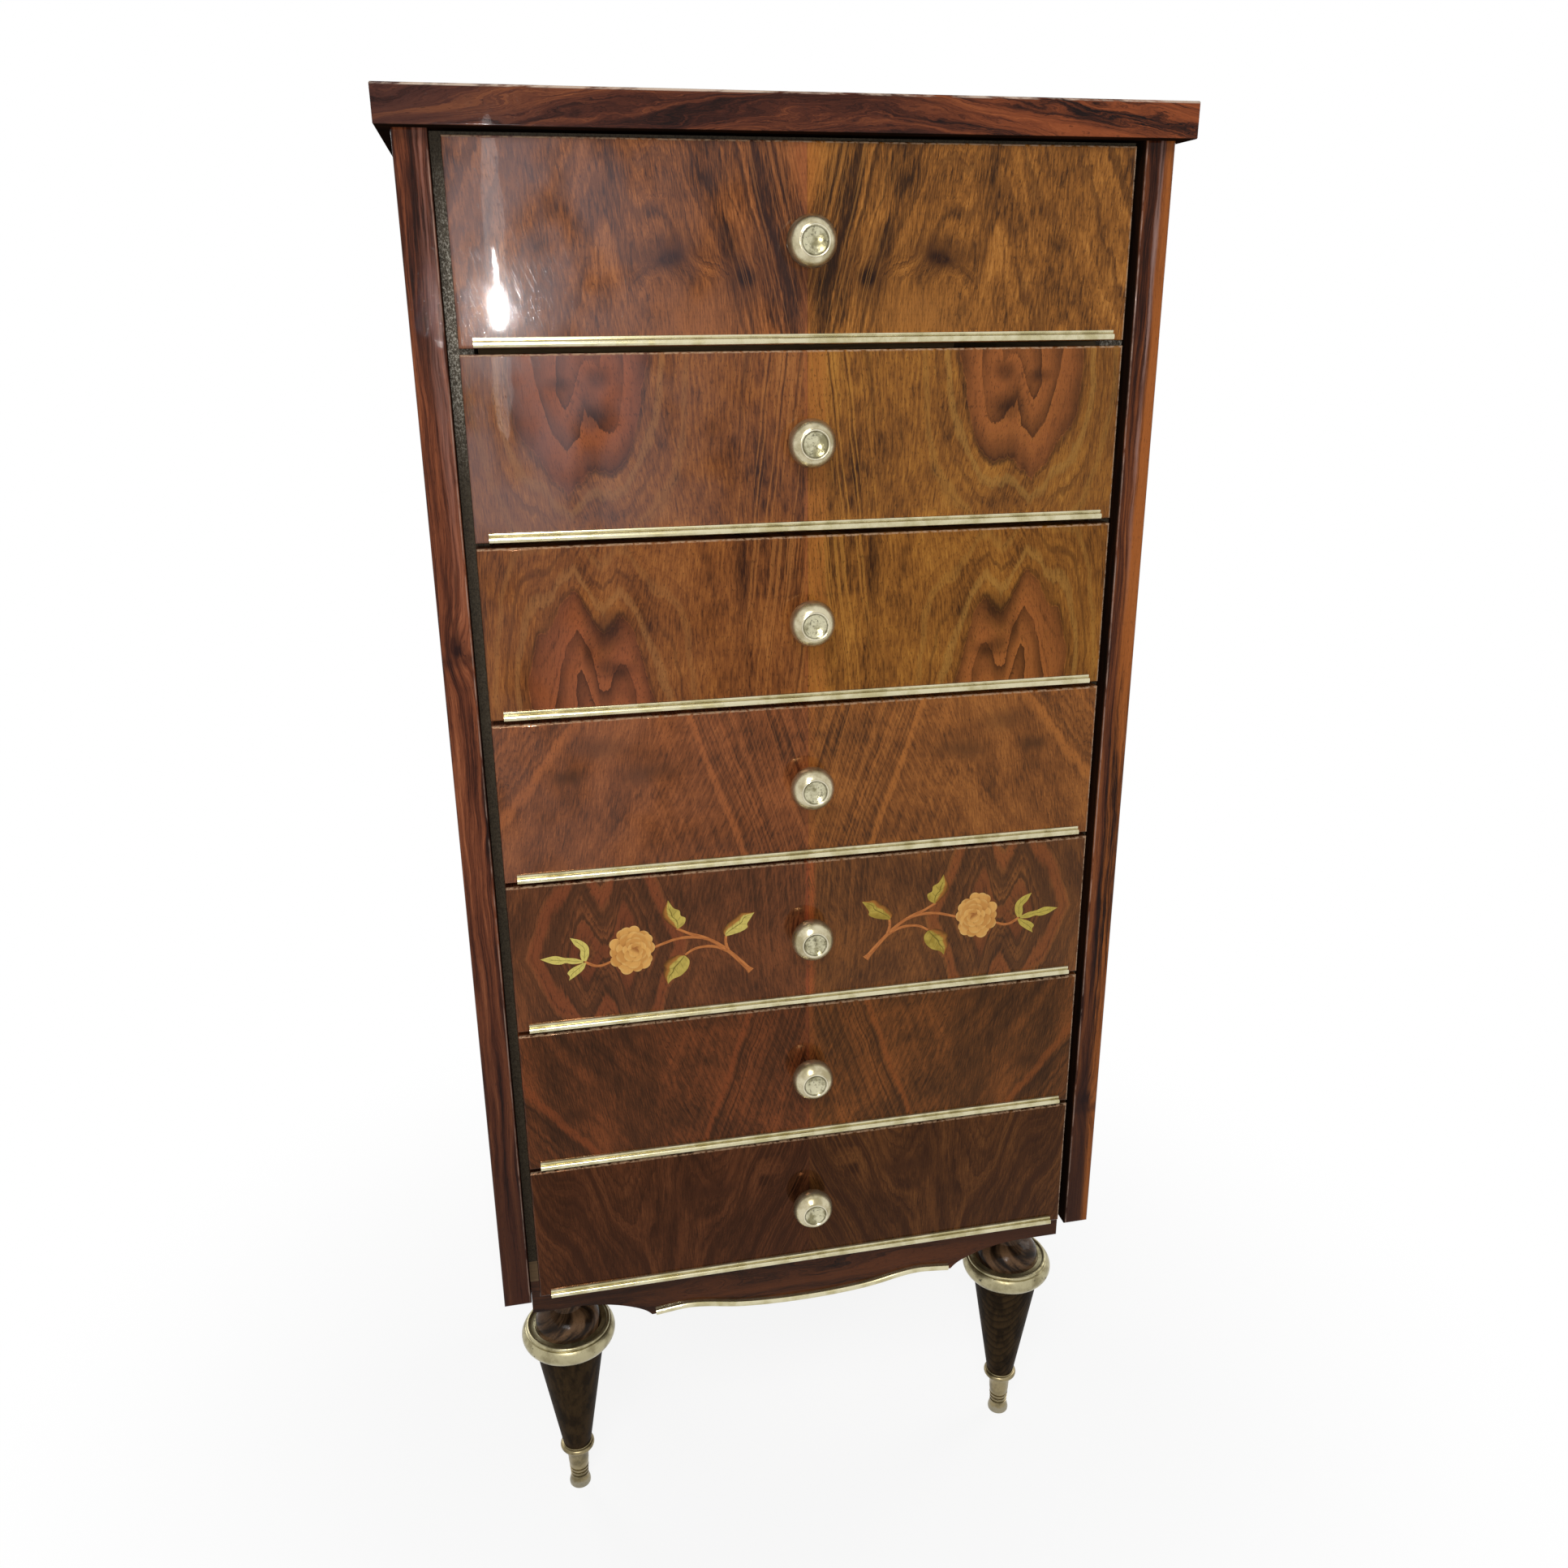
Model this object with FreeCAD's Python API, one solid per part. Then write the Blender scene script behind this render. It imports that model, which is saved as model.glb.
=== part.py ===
import FreeCAD, Part
import math
import os

os.makedirs("parts", exist_ok=True)

V = FreeCAD.Vector

# Sizes in millimetres. X runs to the right, Y to the back, Z up; the floor is Z = 0.
HEIGHT = 1265.0
KNOB_REACH = 26.2          # knob tip ahead of the drawer faces
CASE_DEPTH = 375.0         # drawer faces to the back of the case
FACE = (KNOB_REACH - CASE_DEPTH) / 2   # Y of the drawer faces, so the whole is centred

SLAB_W = 580.0
SLAB_T = 25.0
SLAB_LIP = 10.0            # slab edge ahead of the drawer faces
SLAB_EASE = 1.2

BODY_W = 560.0
SIDE_T = 24.0              # outer side panels and posts
SIDE_FOOT = 283.0          # lower end of side panels and posts
POST_SET = 3.5             # post fronts behind the drawer faces
POST_DEEP = 22.0
POST_ROUND = 2.2

CASE_FRONT = 20.0          # raw case edges behind the drawer faces
INNER_T = 18.0
BACK_T = 6.0
BOARD_T = 22.0
RAIL_T = 18.0
TOP_RAIL_W = 70.0
BASE_FOOT = 258.4          # lower edge of the base frame
BASE_RAIL_T = 16.0

DRAWERS = 7
MARQUETRY_DRAWER = 5
PITCH = 135.0
FRONT_H = 131.0
TOP_FRONT_H = 134.6        # the top drawer's front reaches up under the slab
FRONT_W = 496.0
FRONT_T = 19.5
FRONT_ROUND = 2.0
FIRST_FOOT = 291.4         # lower edge of the bottom drawer front

BOX_W = 470.0
BOX_FOOT = 24.0            # box above the lower edge of its front
BOX_TOP = 118.0
BOX_BACK = 355.0           # box end behind the drawer faces
BOX_T = 12.0
PLY_T = 5.0
PLY_FOOT = 30.0
GROOVE = 6.0
SLACK = 0.1
RUNNER_W = 20.0
RUNNER_T = 12.0
RUNNER_BACK = 367.0

TRIM_L = 476.0
TRIM_H = 7.0
TRIM_DEEP = 5.0
TRIM_BEAD = 2.2            # radius of the lower bead
TRIM_BAND = 2.4            # depth of the upper band
TRIM_FOOT = 0.5

KNOB_R = 18.0
KNOB_HALF = 14.0           # half depth of the flattened ball
KNOB_MID = 14.8            # middle of the ball ahead of the drawer face
KNOB_RIM = 10.4
KNOB_NECK = 7.2
KNOB_DISH = 3.4            # depth of the hollowed knob face
KNOB_Z = 66.0              # knob axis above the lower edge of its front
TOP_KNOB_Z = 69.0
KNOB_STEPS = 12
SCREW_R = 2.0
SCREW_IN_KNOB = 10.0
HEAD_R = 4.0
HEAD_T = 2.6

LEG_X = 225.0
LEG_SET = 67.4             # front leg axes behind the drawer faces
LEG_BACK_SET = 308.0
NECK_R = 13.2
DOME_R = 35.0
SEAT_R = 33.6
COLLAR_Z = 193.4
COLLAR_TOP = 204.0
COLLAR_FOOT = 183.06
COLLAR_R = 44.8
SHAFT_FOOT = 55.5
SHAFT_FOOT_R = 13.9
TENON_R = 13.4
TENON_FOOT = 48.5
FIT = 0.05
STUD_R = 5.0
STUD_HALF = 25.0
BLOCK_W = 73.0
BLOCK_D = 70.0

BOW_LOW = 228.5            # lowest point of the shaped apron
TIP_X = 147.0              # points where the bow meets the ogees
TIP_Z = 236.2
OGEE_END = 214.0
APRON_TRIM_HALF = 143.0
APRON_TRIM_H = 6.5
APRON_TRIM_DEEP = 4.6

COLLAR_ROUND = 10.5        # section radius of the collar ring
COLLAR_BEAD_R = 3.3        # section radius of the bead inside it on top
BEAD_R = 16.8
BEAD_Z = 51.1
SOLE_R = 8.8
RING_GROOVES = ((23.0, 8.55), (18.5, 7.9), (14.0, 7.7))   # height and radius of the turned grooves
RING_GROOVE_R = 0.65

INLAY_T = 0.6
FLOWER_X = 150.0           # marquetry flower from the drawer middle and above its lower edge
FLOWER_Z = 66.0
FLOWER_R = 15.4
LOBES = 11
LOBE_R = 6.2
STEM_WIDE = 4.2
TWIG_WIDE = 2.6
TWIG_FINE = 2.2

CASE_TOP = HEIGHT - SLAB_T
CASE_BACK = CASE_DEPTH - BACK_T
INNER_X = BODY_W / 2 - SIDE_T
OPENING_X = INNER_X - INNER_T
BOARD_TOP = FIRST_FOOT + BOX_FOOT
BOARD_FOOT = BOARD_TOP - BOARD_T


def block(x0, x1, y0, y1, z0, z1):
    """A board between two corners; y is measured back from the drawer faces."""
    return Part.makeBox(x1 - x0, y1 - y0, z1 - z0, V(x0, FACE + y0, z0))


def mirrored(shape):
    return shape.mirror(V(0, 0, 0), V(1, 0, 0))


def pair(shape):
    """The right-hand piece and its left-hand twin."""
    return [shape, mirrored(shape)]


def save(name, *solids):
    shape = solids[0] if len(solids) == 1 else Part.makeCompound(list(solids))
    shape.exportStep("parts/" + name + ".step")


def eased(shape, radius, keep):
    """Round the edges whose middle satisfies keep(x, y, z)."""
    edges = []
    for edge in shape.Edges:
        middle = edge.CenterOfMass
        if keep(middle.x, middle.y, middle.z):
            edges.append(edge)
    return shape.makeFillet(radius, edges)


def outline(sides, plane_y):
    """A closed face in the front plane; each side is a smooth run of (x, z) points."""
    edges = []
    for side in sides:
        points = [V(x, plane_y, z) for x, z in side]
        if len(points) == 2:
            edges.append(Part.makeLine(points[0], points[1]))
        else:
            curve = Part.BSplineCurve()
            curve.interpolate(points)
            edges.append(curve.toShape())
    return Part.Face(Part.Wire(edges))


def turned(runs):
    """Turn a profile about Z; runs hold (r, z) points, 'curve' smooth and 'line' straight."""
    edges = []
    for kind, run in runs:
        points = [V(r, 0, z) for r, z in run]
        if kind == "curve":
            curve = Part.BSplineCurve()
            curve.interpolate(points)
            edges.append(curve.toShape())
        elif kind == "arc":
            edges.append(Part.Arc(points[0], points[1], points[2]).toShape())
        else:
            for a, b in zip(points, points[1:]):
                edges.append(Part.makeLine(a, b))
    return Part.Face(Part.Wire(edges)).revolve(V(0, 0, 0), V(0, 0, 1), 360)


# The case
slab = block(-SLAB_W / 2, SLAB_W / 2, -SLAB_LIP, CASE_DEPTH, CASE_TOP, HEIGHT)
slab = eased(slab, SLAB_EASE, lambda x, y, z: y < FACE + CASE_DEPTH - 1)
save("top_slab", slab)

side = block(INNER_X, BODY_W / 2, POST_SET + POST_DEEP, CASE_DEPTH, SIDE_FOOT, CASE_TOP)
save("right_side_panel", side)
save("left_side_panel", mirrored(side))

post = block(INNER_X, BODY_W / 2, POST_SET, POST_SET + POST_DEEP, SIDE_FOOT, CASE_TOP)
post = eased(post, POST_ROUND, lambda x, y, z: y < FACE + POST_SET + 0.1 and z < CASE_TOP - 1)
save("right_post", post)
save("left_post", mirrored(post))

inner = block(OPENING_X, INNER_X, CASE_FRONT, CASE_BACK, BOARD_TOP, CASE_TOP)
save("right_inner_side", inner)
save("left_inner_side", mirrored(inner))

save("bottom_board", block(-INNER_X, INNER_X, CASE_FRONT, CASE_BACK, BOARD_FOOT, BOARD_TOP))
save("back_panel", block(-INNER_X, INNER_X, CASE_BACK, CASE_DEPTH, BASE_FOOT, CASE_TOP))

front_rail = block(-OPENING_X, OPENING_X, CASE_FRONT, CASE_FRONT + TOP_RAIL_W,
                   CASE_TOP - RAIL_T, CASE_TOP)
back_rail = block(-OPENING_X, OPENING_X, CASE_BACK - TOP_RAIL_W, CASE_BACK,
                  CASE_TOP - RAIL_T, CASE_TOP)
save("top_rails", front_rail, back_rail)

runners = []
for row in range(1, DRAWERS):
    top = BOARD_TOP + row * PITCH
    runners += pair(block(OPENING_X - RUNNER_W, OPENING_X, CASE_FRONT + 2, RUNNER_BACK,
                          top - RUNNER_T, top))
save("drawer_runners", *runners)

# The base frame
apron_back = CASE_FRONT + BASE_RAIL_T
rail_end = CASE_BACK - BASE_RAIL_T
side_rail = block(OPENING_X, INNER_X, apron_back, rail_end, BASE_FOOT, BOARD_FOOT)
back_base = block(-INNER_X, INNER_X, rail_end, CASE_BACK, BASE_FOOT, BOARD_FOOT)
save("base_rails", back_base, *pair(side_rail))

half_bow = [(0, BOW_LOW), (30, 229.2), (64, 232.0), (95, 237.8), (112, 239.6), (126, 238.7), (TIP_X, TIP_Z)]
bow = [(-x, z) for x, z in reversed(half_bow)] + half_bow[1:]
ogee = [(TIP_X, TIP_Z), (151.5, 240.8), (162, 246.8), (176, 252.0), (195, 256.4), (OGEE_END, BASE_FOOT)]
left_ogee = [(-x, z) for x, z in reversed(ogee)]
apron_sides = [
    bow,
    ogee,
    [ogee[-1], (INNER_X, BASE_FOOT)],
    [(INNER_X, BASE_FOOT), (INNER_X, BOARD_FOOT)],
    [(INNER_X, BOARD_FOOT), (-INNER_X, BOARD_FOOT)],
    [(-INNER_X, BOARD_FOOT), (-INNER_X, BASE_FOOT)],
    [(-INNER_X, BASE_FOOT), left_ogee[0]],
    left_ogee,
]
apron_face = FACE + CASE_FRONT
apron = outline(apron_sides, apron_face).extrude(V(0, BASE_RAIL_T, 0))
save("apron", apron)

trim_curve = Part.BSplineCurve()
trim_curve.interpolate([V(x, apron_face, z) for x, z in bow])
start = trim_curve.parameter(V(-APRON_TRIM_HALF, apron_face, TIP_Z))
end = trim_curve.parameter(V(APRON_TRIM_HALF, apron_face, TIP_Z))
lower = trim_curve.toShape(start, end)
upper = lower.translated(V(0, 0, APRON_TRIM_H))
ends = []
for k in (0, 1):
    ends.append(Part.makeLine(lower.Vertexes[k].Point, upper.Vertexes[k].Point))
apron_trim = Part.Face(Part.Wire(Part.__sortEdges__([lower, ends[1], upper, ends[0]])))
apron_trim = apron_trim.extrude(V(0, -APRON_TRIM_DEEP, 0))
trim_front = apron_face - APRON_TRIM_DEEP
apron_trim = eased(apron_trim, APRON_TRIM_H * 0.3, lambda x, y, z: y < trim_front + 0.1)
save("apron_trim", apron_trim)

# One leg on the Z axis, then four copies
leg = turned([
    ("line", [(0, BASE_FOOT), (20, BASE_FOOT)]),
    ("curve", [(20, BASE_FOOT), (15.6, 249), (NECK_R, 238), (NECK_R, 229), (14.6, 223.4)]),
    ("curve", [(14.6, 223.4), (24.5, 219.6), (31.5, 212.6), (DOME_R, COLLAR_TOP + SLACK)]),
    ("line", [(DOME_R, COLLAR_TOP + SLACK), (SEAT_R, COLLAR_TOP + SLACK), (SEAT_R, COLLAR_FOOT - 1),
              (SHAFT_FOOT_R, SHAFT_FOOT), (TENON_R, SHAFT_FOOT), (TENON_R, TENON_FOOT),
              (0, TENON_FOOT), (0, BASE_FOOT)]),
])
leg = leg.cut(Part.makeCylinder(STUD_R + FIT, STUD_HALF + 1, V(0, 0, BASE_FOOT - STUD_HALF - 1)))

collar_mid = COLLAR_R - COLLAR_ROUND
lip = (collar_mid + 8.6, COLLAR_Z + 6.02)
hem = (collar_mid + 1.8, COLLAR_FOOT)
bead_mid = (lip[0] - 4.5, COLLAR_TOP - 2.6)
bead_low = (bead_mid[0] + 2.86, bead_mid[1] - 1.65)
bead_out = (bead_mid[0] + 2.33, bead_mid[1] + 2.33)
bead_top = (bead_mid[0], bead_mid[1] + COLLAR_BEAD_R)
collar = turned([
    ("arc", [hem, (COLLAR_R, COLLAR_Z), lip]),
    ("line", [lip, bead_low]),
    ("arc", [bead_low, bead_out, bead_top]),
    ("line", [bead_top, (bead_top[0] - 2.2, COLLAR_TOP), (SEAT_R + FIT, COLLAR_TOP),
              (SEAT_R + FIT, COLLAR_FOOT), hem]),
])

cup_floor = TENON_FOOT - SLACK
cup_rim = SHAFT_FOOT - SLACK
bead_foot = (14.4, BEAD_Z - 4.2)
sabot = turned([
    ("line", [(0, cup_floor), (TENON_R + FIT, cup_floor), (TENON_R + FIT, cup_rim), (15.0, cup_rim)]),
    ("arc", [(15.0, cup_rim), (BEAD_R, BEAD_Z), bead_foot]),
    ("curve", [bead_foot, (11.4, 45.4), (10.6, 43.1), (10.2, 35), (9.8, 29), (8.8, 23.5), (7.9, 18),
               (7.9, 12.8), (9.5, 8.2), (10.6, 4.8), (10.1, 1.4), (SOLE_R, 0)]),
    ("line", [(SOLE_R, 0), (0, 0), (0, cup_floor)]),
])
for groove_z, groove_r in RING_GROOVES:
    sabot = sabot.cut(Part.makeTorus(groove_r + 0.3, RING_GROOVE_R, V(0, 0, groove_z)))

stud = Part.makeCylinder(STUD_R, 2 * STUD_HALF, V(0, 0, BASE_FOOT - STUD_HALF))
stud_bore = Part.makeCylinder(STUD_R + FIT, STUD_HALF + 1, V(0, 0, BASE_FOOT))
corner = block(OPENING_X - BLOCK_W, OPENING_X, apron_back, apron_back + BLOCK_D, BASE_FOOT, BOARD_FOOT)

studs = []
blocks = []
for row_name, leg_y in (("front", LEG_SET), ("back", LEG_BACK_SET)):
    corner_y = 0 if row_name == "front" else rail_end - apron_back - BLOCK_D
    for hand, sign in (("right", 1), ("left", -1)):
        at = V(sign * LEG_X, FACE + leg_y, 0)
        save(row_name + "_" + hand + "_leg", leg.translated(at))
        save(row_name + "_" + hand + "_leg_collar", collar.translated(at))
        save(row_name + "_" + hand + "_leg_foot", sabot.translated(at))
        studs.append(stud.translated(at))
        wood = corner if sign > 0 else mirrored(corner)
        blocks.append(wood.translated(V(0, corner_y, 0)).cut(stud_bore.translated(at)))
save("leg_studs", *studs)
save("leg_blocks", *blocks)

# Marquetry: one spray of outlines in (x, z) from the middle of the lower edge of its drawer front
near_leaf = [
    [(71.4, 70.0), (73.8, 75.0), (69.0, 81.8), (63.5, 85.8), (58.6, 90.2), (53.0, 90.0), (46.6, 89.5)],
    [(46.6, 89.5), (50.6, 83.5), (53.0, 79.4)],
    [(53.0, 79.4), (52.6, 76.4), (57.8, 73.2), (65.0, 71.2), (71.4, 70.0)],
]
high_leaf = [
    [(111.7, 81.0), (117.0, 85.2), (121.4, 90.0), (123.7, 97.0)],
    [(123.7, 97.0), (121.0, 103.2), (118.6, 107.9)],
    [(118.6, 107.9), (114.4, 100.6), (109.4, 97.6)],
    [(109.4, 97.6), (108.6, 93.0), (104.6, 90.4), (106.0, 85.0), (111.7, 81.0)],
]
low_leaf = [
    [(106.2, 56.0), (113.0, 57.2), (121.0, 53.6), (124.6, 49.6)],
    [(124.6, 49.6), (123.6, 46.2), (124.8, 40.0), (121.4, 31.1)],
    [(121.4, 31.1), (117.2, 35.2), (110.0, 38.0)],
    [(110.0, 38.0), (104.2, 44.0), (102.6, 51.0), (106.2, 56.0)],
]
tip_up = [
    [(188.0, 60.2), (185.4, 66.0), (185.8, 73.6), (191.4, 79.4), (200.0, 82.5)],
    [(200.0, 82.5), (196.4, 75.4), (192.4, 71.0), (192.6, 65.4), (191.4, 61.0)],
    [(191.4, 61.0), (188.0, 60.2)],
]
tip_out = [
    [(192.2, 60.8), (197.4, 63.8), (205.0, 65.0), (213.6, 67.6), (225.0, 65.7)],
    [(225.0, 65.7), (216.0, 60.8), (209.0, 59.4), (204.6, 60.2)],
    [(204.6, 60.2), (198.6, 58.6), (192.2, 59.4)],
    [(192.2, 59.4), (192.2, 60.8)],
]
tip_down = [
    [(188.0, 58.6), (190.6, 52.9), (196.8, 47.8), (203.0, 43.9)],
    [(203.0, 43.9), (202.2, 47.6), (203.8, 51.0)],
    [(203.8, 51.0), (199.2, 55.2), (191.4, 57.8)],
    [(191.4, 57.8), (188.0, 58.6)],
]
main_stem = [(49.8, 34.4), (57.6, 43.4), (68.0, 54.8), (79.0, 64.4), (90.4, 71.4), (101.0, 75.4),
             (110.2, 79.8)]
flower_stem = [(97.4, 70.4), (105.0, 72.0), (114.0, 71.8), (122.0, 69.6), (127.4, 67.6)]
low_stem = [(78.8, 59.6), (86.0, 62.0), (94.0, 62.0), (100.0, 60.4), (104.6, 58.0)]
near_stem = [(70.4, 61.0), (71.6, 65.0), (71.2, 68.4)]
tip_stem = [(171.2, 56.0), (176.0, 54.4), (182.0, 55.0), (186.2, 57.6)]


def stem(points, wide, fine):
    """A strip that narrows along a run of points."""
    left = []
    right = []
    for k, (x, z) in enumerate(points):
        before = points[max(k - 1, 0)]
        after = points[min(k + 1, len(points) - 1)]
        run = math.hypot(after[0] - before[0], after[1] - before[1])
        half = 0.5 * (wide + (fine - wide) * k / (len(points) - 1))
        across = (-(after[1] - before[1]) / run * half, (after[0] - before[0]) / run * half)
        left.append((x + across[0], z + across[1]))
        right.append((x - across[0], z - across[1]))
    right.reverse()
    strip = outline([left, [left[-1], right[0]], right, [right[-1], left[0]]], FACE)
    return strip.extrude(V(0, INLAY_T, 0))


def disc(x, z, radius):
    return Part.makeCylinder(radius, INLAY_T, V(x, FACE, z), V(0, 1, 0))


def only_solid(shape):
    return max(shape.Solids, key=lambda solid: solid.Volume)


marquetry_foot = FIRST_FOOT + (DRAWERS - MARQUETRY_DRAWER) * PITCH
flower = disc(FLOWER_X, FLOWER_Z, FLOWER_R)
for k in range(LOBES):
    turn = 2 * math.pi * k / LOBES
    lobe_x = FLOWER_X + FLOWER_R * math.cos(turn)
    lobe_z = FLOWER_Z + FLOWER_R * math.sin(turn)
    flower = flower.fuse(disc(lobe_x, lobe_z, LOBE_R))
flower = only_solid(flower.removeSplitter())

leaves = []
for leaf in (near_leaf, high_leaf, low_leaf, tip_up, tip_out, tip_down):
    leaves.append(outline(leaf, FACE).extrude(V(0, INLAY_T, 0)))

stems = [stem(main_stem, STEM_WIDE, TWIG_FINE)]
for run in (flower_stem, low_stem, near_stem, tip_stem):
    stems.append(stem(run, TWIG_WIDE, TWIG_FINE))

inlays = {}
for name, solids in (("flowers", [flower]), ("leaves", leaves), ("stems", stems)):
    raised = [solid.translated(V(0, 0, marquetry_foot)) for solid in solids]
    inlays[name] = raised + [mirrored(solid) for solid in raised]

# The parts that all drawers share, at floor level
half_box = BOX_W / 2
ply = block(GROOVE - half_box + SLACK, half_box - GROOVE - SLACK, FRONT_T + GROOVE + SLACK, BOX_BACK,
            PLY_FOOT, PLY_FOOT + PLY_T)
ply_groove = block(GROOVE - half_box, half_box - GROOVE, FRONT_T + GROOVE, BOX_BACK,
                   PLY_FOOT - SLACK, PLY_FOOT + PLY_T + SLACK)
box_side = block(half_box - BOX_T, half_box, FRONT_T, BOX_BACK, BOX_FOOT + SLACK, BOX_TOP).cut(ply_groove)
box_front = block(BOX_T - half_box, half_box - BOX_T, FRONT_T, FRONT_T + BOX_T, BOX_FOOT + SLACK, BOX_TOP)
box_front = box_front.cut(ply_groove)
box_back = block(BOX_T - half_box, half_box - BOX_T, BOX_BACK - BOX_T, BOX_BACK,
                 PLY_FOOT + PLY_T + SLACK, BOX_TOP)

reed_mid = TRIM_DEEP - TRIM_BEAD
trim_points = [(0, 0), (reed_mid, 0), (TRIM_DEEP, TRIM_BEAD), (reed_mid, 2 * TRIM_BEAD),
               (TRIM_BAND, 2 * TRIM_BEAD), (TRIM_BAND, TRIM_H - 0.6), (TRIM_BAND - 0.6, TRIM_H),
               (0, TRIM_H)]
corners = [V(-TRIM_L / 2, FACE - d, TRIM_FOOT + z) for d, z in trim_points]
trim_edges = [Part.makeLine(corners[0], corners[1]), Part.Arc(corners[1], corners[2], corners[3]).toShape()]
for a, b in zip(corners[3:], corners[4:] + corners[:1]):
    trim_edges.append(Part.makeLine(a, b))
trim = Part.Face(Part.Wire(trim_edges)).extrude(V(TRIM_L, 0, 0))

dish_r = (KNOB_RIM ** 2 + KNOB_DISH ** 2) / (2 * KNOB_DISH)


def dish(r):
    """Height of the hollowed knob face at a radius: part of a ball."""
    return KNOB_REACH - KNOB_DISH + dish_r - math.sqrt(dish_r ** 2 - r ** 2)


ball = []
for step in range(KNOB_STEPS + 1):
    low = -math.acos(KNOB_NECK / KNOB_R)
    high = math.acos((KNOB_RIM + 0.9) / KNOB_R)
    turn = low + (high - low) * step / KNOB_STEPS
    ball.append((KNOB_R * math.cos(turn), KNOB_MID + KNOB_HALF * math.sin(turn)))
knob = turned([
    ("line", [(0, 0), (KNOB_NECK + 0.8, 0), (KNOB_NECK + 0.8, 1.2), ball[0]]),
    ("curve", ball),
    ("line", [ball[-1], (KNOB_RIM + 0.4, KNOB_REACH), (KNOB_RIM, KNOB_REACH)]),
    ("arc", [(KNOB_RIM, KNOB_REACH), (KNOB_RIM / 2, dish(KNOB_RIM / 2)), (0, dish(0))]),
    ("line", [(0, dish(0)), (0, 0)]),
])
knob = knob.cut(Part.makeCylinder(SCREW_R + FIT, SCREW_IN_KNOB + 1))
knob.rotate(V(0, 0, 0), V(1, 0, 0), 90)
knob = knob.translated(V(0, FACE, 0))

screw_tip = FACE - SCREW_IN_KNOB
head_y = FACE + FRONT_T + BOX_T - HEAD_T - SLACK
screw = Part.makeCylinder(SCREW_R, head_y - screw_tip, V(0, screw_tip, 0), V(0, 1, 0))
screw = screw.fuse(Part.makeCylinder(HEAD_R, HEAD_T, V(0, head_y, 0), V(0, 1, 0))).removeSplitter()


def drawer(tall, knob_z):
    """Front, box and knob of a drawer at floor level."""
    bore = Part.makeCylinder(SCREW_R + FIT, BOX_BACK / 4, V(0, FACE - 1, knob_z), V(0, 1, 0))
    sink = Part.makeCylinder(HEAD_R + FIT, HEAD_T + 1, V(0, head_y, knob_z), V(0, 1, 0))
    front = block(-FRONT_W / 2, FRONT_W / 2, 0, FRONT_T, 0, tall)
    front = eased(front, FRONT_ROUND, lambda x, y, z: y < FACE + 0.1).cut(bore)
    box = pair(box_side) + [box_front.cut(bore).cut(sink), box_back, ply]
    up = V(0, 0, knob_z)
    return front, box, [knob.translated(up), screw.translated(up)]


for number in range(1, DRAWERS + 1):
    rise = V(0, 0, FIRST_FOOT + (DRAWERS - number) * PITCH)
    name = "drawer_" + str(number)
    front, box, knob_set = drawer(*((TOP_FRONT_H, TOP_KNOB_Z) if number == 1 else (FRONT_H, KNOB_Z)))
    face_board = front.translated(rise)
    if number == MARQUETRY_DRAWER:
        for kind, solids in inlays.items():
            save(name + "_inlaid_" + kind, *solids)
            for solid in solids:
                face_board = face_board.cut(solid)
    save(name + "_front", face_board)
    save(name + "_box", *[solid.translated(rise) for solid in box])
    save(name + "_trim", trim.translated(rise))
    save(name + "_knob", *[solid.translated(rise) for solid in knob_set])
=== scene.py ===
import math

import bmesh
import bpy
from mathutils import Matrix, Vector


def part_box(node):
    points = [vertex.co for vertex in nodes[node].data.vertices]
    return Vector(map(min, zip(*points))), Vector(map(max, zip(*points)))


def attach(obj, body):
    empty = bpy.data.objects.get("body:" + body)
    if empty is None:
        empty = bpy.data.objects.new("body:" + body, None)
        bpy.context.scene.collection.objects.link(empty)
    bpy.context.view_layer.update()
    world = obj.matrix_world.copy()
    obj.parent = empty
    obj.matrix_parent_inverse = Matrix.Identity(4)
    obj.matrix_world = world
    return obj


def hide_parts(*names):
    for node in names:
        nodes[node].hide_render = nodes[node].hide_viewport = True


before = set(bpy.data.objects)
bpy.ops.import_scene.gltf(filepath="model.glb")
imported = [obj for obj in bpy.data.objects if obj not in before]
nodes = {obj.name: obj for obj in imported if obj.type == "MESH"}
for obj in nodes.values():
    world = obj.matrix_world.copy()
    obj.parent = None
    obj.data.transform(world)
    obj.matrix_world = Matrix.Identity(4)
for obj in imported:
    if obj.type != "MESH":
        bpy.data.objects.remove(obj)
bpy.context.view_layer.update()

# Places and sizes, in metres.
MM = 0.001
DRAWERS = range(1, 8)
MARQUETRY = 5   # the drawer with the flowers
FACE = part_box("drawer_1_front")[0].y
BOW_TALL = 6.5 * MM   # the apron's trim
FLOOR = 9   # half the floor's width
CAMERA_AT = (-0.22685, FACE - 0.9906, 1.12357)
CAMERA_TURN = (0.205509, 0.342541, 0.008525)   # to the right, down, and rolled, in radians
LENS, SENSOR = 30.376, 36   # millimetres

# Sizes inside the finishes, in millimetres.
FRONT_TALL = 131   # the fronts below the top one
HALF_TOP = 290   # half the width of the top slab
HALF_POST = 12   # half the width of a front post
DOME_FOOT = 203   # how high the dome of a leg starts

DARK_MARK = 220   # a mark whose channels add up to less than this breaks up into patches
SKY_LIGHT = 0.22   # how much of the white sky falls on things as light
FLOOR_WHITE = 0.87   # how far the floor is wiped white under the chest; it is wholly white further out


def foot_of(number):
    """Height of the lower edge of a drawer front, in metres."""
    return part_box(f"drawer_{number}_front")[0].z


def box_mm(node):
    """The lower and the upper corner of a solid, in millimetres."""
    return [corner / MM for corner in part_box(node)]


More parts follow.
